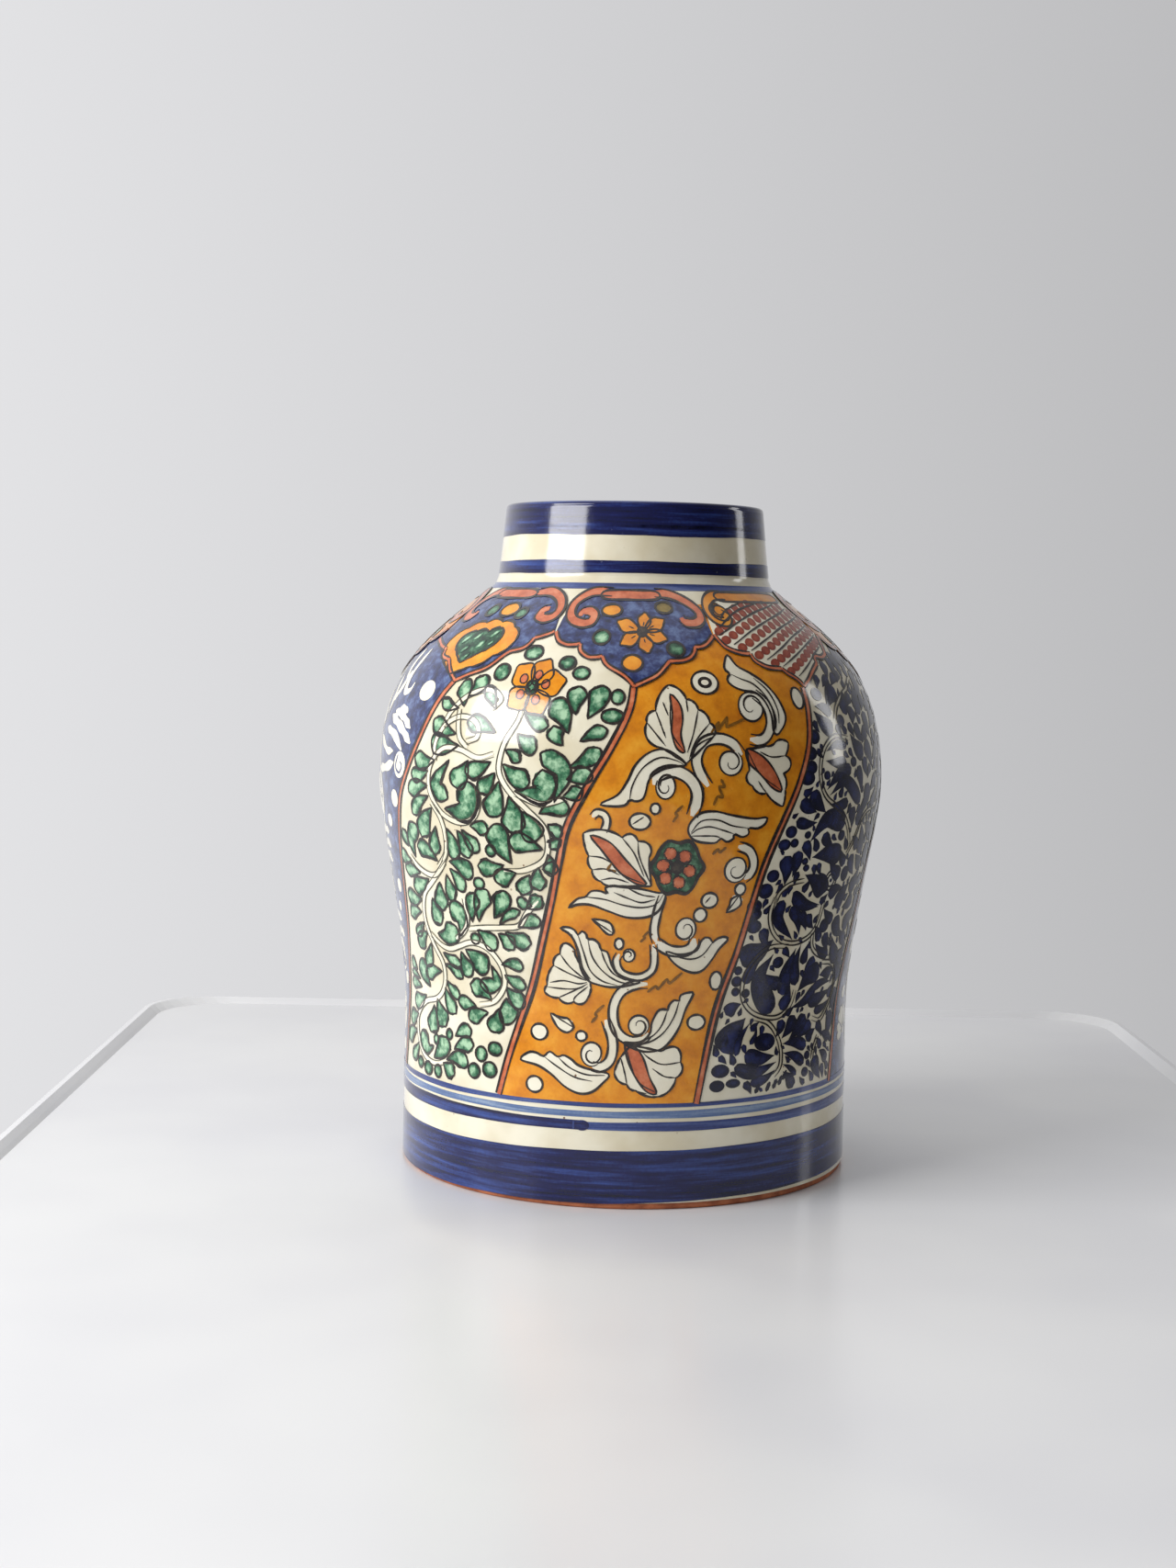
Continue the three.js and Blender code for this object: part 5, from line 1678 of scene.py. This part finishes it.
class JAR_OT_bands(PieceOperator, bpy.types.Operator):
    """Paints the bands of the foot and the neck, and the rim"""

    bl_idname = "talavera.bands"
    bl_label = "Painted Bands"

    def build(self, context):
        def height(node):
            low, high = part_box(node)
            return low.z / MM, high.z / MM

        def painted(name, node, finish, slot, reach=(0, 0), layer="fill", stands_for=True, **brush):
            """A band as high as a node, that reaches so far past its foot and its top."""
            low, high = height(node)
            sheet = Sheet(sum(map(ord, name)))
            band(sheet, low + reach[0], high + reach[1], **brush)
            piece = sheet.object(name, make_finish(finish), LIFTS[layer], copies=1)
            settle(piece, slot, *([node] if stands_for else []))

        painted("foot_band_paint", "foot_band", "cobalt_band", "cobalt", waver=0.4, tilt=1.8)
        painted("foot_stroke_paint", "foot_stroke", "cobalt_band", "cobalt", (-0.6, 0.8),
                start=-190, end=-10.5, thin=0.12, tilt=0.6)
        low, high = height("foot_stroke")
        blob = Sheet(23)
        blob.oval(-10.8, (low + high) / 2, 1.8, (high - low) * 0.66)
        settle(blob.object("foot_stroke_end", make_finish("cobalt_band"), LIFTS["over"], copies=1), "cobalt")
        painted("foot_stroke_pale_paint", "foot_stroke", "blue_stripe", "blue_wash", (-0.4, 0.3),
                stands_for=False, start=-13, end=172, thin=0.2, tilt=0.6)
        painted("pale_line_paint", "pale_line", "pale_stripe", "pale_blue", tilt=0.8)
        painted("panel_line_paint", "panel_line", "blue_stripe", "blue_wash", layer="over", waver=0.3,
                tilt=1.0)
        painted("neck_line_lower_paint", "neck_line_lower", "blue_stripe", "blue_wash", waver=0.25)
        painted("neck_line_upper_paint", "neck_line_upper", "cobalt_band", "cobalt", waver=0.35)
        low, high = height("rim_band")
        rim = turned_piece("rim_band_paint", rim_section(low + 2.5, 0.14), make_finish("cobalt_band"),
                           context.scene.talavera_body.facets)
        settle(rim, "cobalt", "rim_band")
        painted("rim_edge_paint", "rim_band", "cobalt_band", "cobalt", (-0.6, low + 4 - high),
                stands_for=False, waver=0.5)


class JAR_OT_grounds(PieceOperator, bpy.types.Operator):
    """Washes the orange and the blue grounds in between the ribs"""

    bl_idname = "talavera.grounds"
    bl_label = "Panel Grounds"

    def build(self, context):
        low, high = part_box("panel_line")[1].z / MM - 0.6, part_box("lappet_1")[1].z / MM - 6
        for name, finish, slot, left in (("orange_ground", "orange", "orange", 1),
                                         ("blue_ground", "blue_wash", "blue_wash", -1)):
            sheet = Sheet(3)
            panel_ground(sheet, left, low, high)
            settle(sheet.object(name, make_finish(finish), LIFTS["ground"], 0.12), slot)


class JAR_OT_ribs(PieceOperator, bpy.types.Operator):
    """Draws the swirling coral ribs with a dark line down either side"""

    bl_idname = "talavera.ribs"
    bl_label = "Swirling Ribs"

    def build(self, context):
        settings = context.scene.talavera_paint
        coral, lines = Sheet(5), Sheet(6)
        for path in RIB_PATHS:
            coral.stroke(path, settings.rib, 0.8, across=3, waver=0.08)
            for side in (-1, 1):
                edge = beside(lines, path, side * settings.rib / 2)
                lines.stroke(edge, settings.outline * 1.25, 0.6, waver=0.3)
        ribs = [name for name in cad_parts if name.startswith("rib_")]
        settle(coral.object("coral_ribs", make_finish("coral"), LIFTS["over"]), "coral", *ribs)
        settle(lines.object("rib_lines", make_finish("line"), LIFTS["line"]), "dark_line")


class JAR_OT_green_panel(PieceOperator, bpy.types.Operator):
    """Paints the two panels of green leaves"""

    bl_idname = "talavera.green_panel"
    bl_label = "Green Panels"

    def build(self, context):
        place_painting("green_panel", paint_green_panel(), {
            "stems": ("white", "tin_glaze", "over"),
            "stem_lines": ("thin_line", "dark_line", "line"),
            "green": ("green", "copper_green", "fill"),
            "orange": ("orange", "orange", "fill"),
            "dark_green": ("dark_green", "copper_green", "over"),
            "coral": ("coral", "coral", "over"),
            "outlines": ("line", "dark_line", "line"),
        })


class JAR_OT_orange_panel(PieceOperator, bpy.types.Operator):
    """Paints the white acanthus and the rosette on the orange panels"""

    bl_idname = "talavera.orange_panel"
    bl_label = "Orange Panels"

    def build(self, context):
        place_painting("orange_panel", paint_orange_panel(), {
            "white": ("white", "white", "fill"),
            "white_over": ("white", "white", "over"),
            "coral": ("coral", "coral", "over"),
            "rosette": ("dark_green", "copper_green", "fill"),
            "veins": ("line", "dark_line", "line"),
            "zigzags": ("brown_line", "dark_line", "line"),
            "outlines": ("line", "dark_line", "line"),
            "beads": ("white", "white", "top"),
            "rosette_beads": ("coral", "coral", "top"),
            "bead_lines": ("line", "dark_line", "top"),
        })


class JAR_OT_cobalt_panel(PieceOperator, bpy.types.Operator):
    """Paints the two panels of cobalt leaves"""

    bl_idname = "talavera.cobalt_panel"
    bl_label = "Cobalt Panels"

    def build(self, context):
        place_painting("cobalt_panel", paint_cobalt_panel(), {
            "leaves": ("cobalt_leaf", "cobalt", "fill"),
            "stems": ("line", "dark_line", "line"),
        })


class JAR_OT_blue_panel(PieceOperator, bpy.types.Operator):
    """Lays the cream fans and fingers on the blue panels"""

    bl_idname = "talavera.blue_panel"
    bl_label = "Blue Panels"

    def build(self, context):
        place_painting("blue_panel", paint_blue_panel(), {
            "cream": ("white", "white", "fill"),
            "curls": ("blue_stripe", "blue_wash", "line"),
        })


class JAR_OT_lappets(PieceOperator, bpy.types.Operator):
    """Paints the eight lappets that hang from the neck over the tops of the panels"""

    bl_idname = "talavera.lappets"
    bl_label = "Lappets"

    def build(self, context):
        place_painting("lappet", paint_lappets(), {
            "blue": ("blue_wash", "blue_wash", "lappet"),
            "white": ("white", "white", "lappet"),
            "orange_ground": ("orange", "orange", "lappet"),
            "orange": ("orange", "orange", "lappet_fill"),
            "olive": ("olive", "copper_green", "lappet_fill"),
            "green": ("green", "copper_green", "lappet_fill"),
            "white_over": ("white", "white", "lappet_fill"),
            "dark_green": ("dark_green", "copper_green", "lappet_over"),
            "heart_lights": ("green", "copper_green", "lappet_line"),
            "seeds": ("red_brown", "red_brown", "lappet_fill"),
            "coral": ("coral", "coral", "lappet_over"),
            "veins": ("line", "dark_line", "lappet_line"),
            "outlines": ("line", "dark_line", "lappet_line"),
        }, {
            "blue": ["lappet_2", "lappet_3", "lappet_6", "lappet_7"],
            "white": ["lappet_4", "lappet_8"],
            "orange_ground": ["lappet_1", "lappet_5"],
        })


# The camera's place in metres, and how far it looks down and leans over in degrees.
CAMERA_PLACE = (-0.0195, -1.0224, 0.2566)
CAMERA_DOWN = 4.56
CAMERA_LEAN = 1.06


class JAR_OT_stage(PieceOperator, bpy.types.Operator):
    """Sets the pale table, the soft window and the camera"""

    bl_idname = "talavera.stage"
    bl_label = "Stage"

    def build(self, context):
        settings = context.scene.talavera_stage
        scene = context.scene
        scene.view_settings.view_transform = "Standard"
        table_top()
        world = bpy.data.worlds.new("studio")
        world.use_nodes = True
        room_light(world.node_tree, settings.ambient)
        scene.world = world
        lamp("window", (-1.15, -0.62, 0.80), (0, 0, 0.18), (0.92, 0.66), settings.window)
        lamp("far_window", (1.35, 0.32, 0.62), (0, 0, 0.18), (0.22, 0.8), settings.window * 0.1)
        lamp("overhead", (-0.3, 0.1, 1.7), (0, 0, 0), (1.6, 1.6), settings.window * 0.2)
        camera = bpy.data.cameras.new("camera")
        camera.lens = settings.lens
        camera.sensor_fit = "AUTO"
        holder = bpy.data.objects.new("camera", camera)
        holder.location = CAMERA_PLACE
        pitch, roll = math.radians(90 - CAMERA_DOWN), math.radians(CAMERA_LEAN)
        turn = Euler((pitch, 0, 0)).to_matrix() @ Euler((0, 0, roll)).to_matrix()
        holder.rotation_euler = turn.to_euler()
        scene.collection.objects.link(holder)
        scene.camera = holder


def table_top():
    """A pale table with rounded corners and a low lip, standing under the jar."""
    f = Finish("table")
    cloud = f.mix(f.noise(160, 2).over(0.3, 0.7), paint(234, 234, 234), paint(226, 226, 228))
    material = f.finish(cloud, f.noise(60, 2) * 0.08 + 0.2, f.noise(14, 2), 0.01)
    left, right, near, far, corner = -0.298, 0.322, -1.4, 0.376, 0.04
    rim = []
    for x, y, start in ((right - corner, far - corner, 0), (left + corner, far - corner, 90),
                        (left + corner, near + corner, 180), (right - corner, near + corner, 270)):
        rim += rounded((x, y), corner, start, start + 90, 9)
    lip, drop = 0.012, 0.02
    middle = ((left + right) / 2, (near + far) / 2)

    def ring(inset, z):
        return [(x - math.copysign(inset, x - middle[0]), y - math.copysign(inset, y - middle[1]), z)
                for x, y in rim]

    rings = [ring(lip, 0), ring(lip * 0.8, 0.0015), ring(lip * 0.5, 0.0035), ring(lip * 0.2, 0.003),
             ring(0, 0.0005), ring(0, -drop)]
    count = len(rim)
    faces = [tuple(range(count))]
    for r in range(len(rings) - 1):
        for i in range(count):
            j = (i + 1) % count
            faces.append((r * count + i, (r + 1) * count + i, (r + 1) * count + j, r * count + j))
    mesh = bpy.data.meshes.new("table")
    mesh.from_pydata([p for points in rings for p in points], [], faces)
    mesh.materials.append(material)
    table = bpy.data.objects.new("table", mesh)
    bpy.context.scene.collection.objects.link(table)


def room_light(tree, strength):
    """Pale light from all round that falls off to the right and towards the front of the room."""
    def node(kind, *values, **settings):
        made = tree.nodes.new(kind)
        for key, value in settings.items():
            setattr(made, key, value)
        for socket, value in zip(made.inputs, values):
            if isinstance(value, bpy.types.NodeSocket):
                tree.links.new(value, socket)
            else:
                socket.default_value = value
        return made.outputs

    way = node("ShaderNodeTexCoord")["Generated"]
    across, away, _ = node("ShaderNodeSeparateXYZ", way)
    side = node("ShaderNodeMapRange", across, -1.0, 1.0, strength * 1.8, strength * 0.2)[0]
    front = node("ShaderNodeMapRange", away, -0.4, 0.6, 0.35, 1.0)[0]
    both = node("ShaderNodeMath", side, front, operation="MULTIPLY")[0]
    back = tree.nodes["Background"]
    back.inputs["Color"].default_value = paint(212, 212, 214)
    tree.links.new(both, back.inputs["Strength"])


def lamp(name, place, target, size, power):
    """A soft rectangular lamp that the camera doesn't see."""
    light = bpy.data.lights.new(name, "AREA")
    light.shape = "RECTANGLE"
    light.size, light.size_y = size
    light.energy = power
    holder = bpy.data.objects.new(name, light)
    holder.location = place
    holder.rotation_euler = (Vector(target) - Vector(place)).to_track_quat("-Z", "Y").to_euler()
    holder.visible_camera = False
    bpy.context.scene.collection.objects.link(holder)


PIECE_OPERATORS = [
    JAR_OT_clay, JAR_OT_glaze, JAR_OT_bands, JAR_OT_grounds, JAR_OT_ribs, JAR_OT_green_panel,
    JAR_OT_orange_panel, JAR_OT_cobalt_panel, JAR_OT_blue_panel, JAR_OT_lappets,
    JAR_OT_stage,
]


SETTINGS = {
    "talavera_body": JarBodySettings,
    "talavera_paint": JarPaintSettings,
    "talavera_stage": JarStageSettings,
}


class JAR_PT_panel(bpy.types.Panel):
    """The jar's settings and the buttons that build it"""

    bl_idname = "JAR_PT_panel"
    bl_label = "Talavera Jar"
    bl_space_type = "VIEW_3D"
    bl_region_type = "UI"
    bl_category = "Talavera Jar"

    def draw(self, context):
        for settings in SETTINGS:
            group = getattr(context.scene, settings)
            box = self.layout.box()
            for name in group.bl_rna.properties.keys():
                if name not in ("rna_type", "name"):
                    box.prop(group, name)
        for operator in PIECE_OPERATORS:
            self.layout.operator(operator.bl_idname)


def register():
    for cls in [*SETTINGS.values(), *PIECE_OPERATORS, JAR_PT_panel]:
        bpy.utils.register_class(cls)
    for name, cls in SETTINGS.items():
        setattr(bpy.types.Scene, name, bpy.props.PointerProperty(type=cls))


def unregister():
    for name in SETTINGS:
        delattr(bpy.types.Scene, name)
    for cls in reversed([*SETTINGS.values(), *PIECE_OPERATORS, JAR_PT_panel]):
        bpy.utils.unregister_class(cls)


def main():
    """Builds the jar piece by piece."""
    register()
    for operator in PIECE_OPERATORS:
        category, name = operator.bl_idname.split(".")
        getattr(getattr(bpy.ops, category), name)()
    if "wall" in TREES:
        bpy.data.objects.remove(TREES.pop("wall"))


if __name__ == "__main__":
    main()
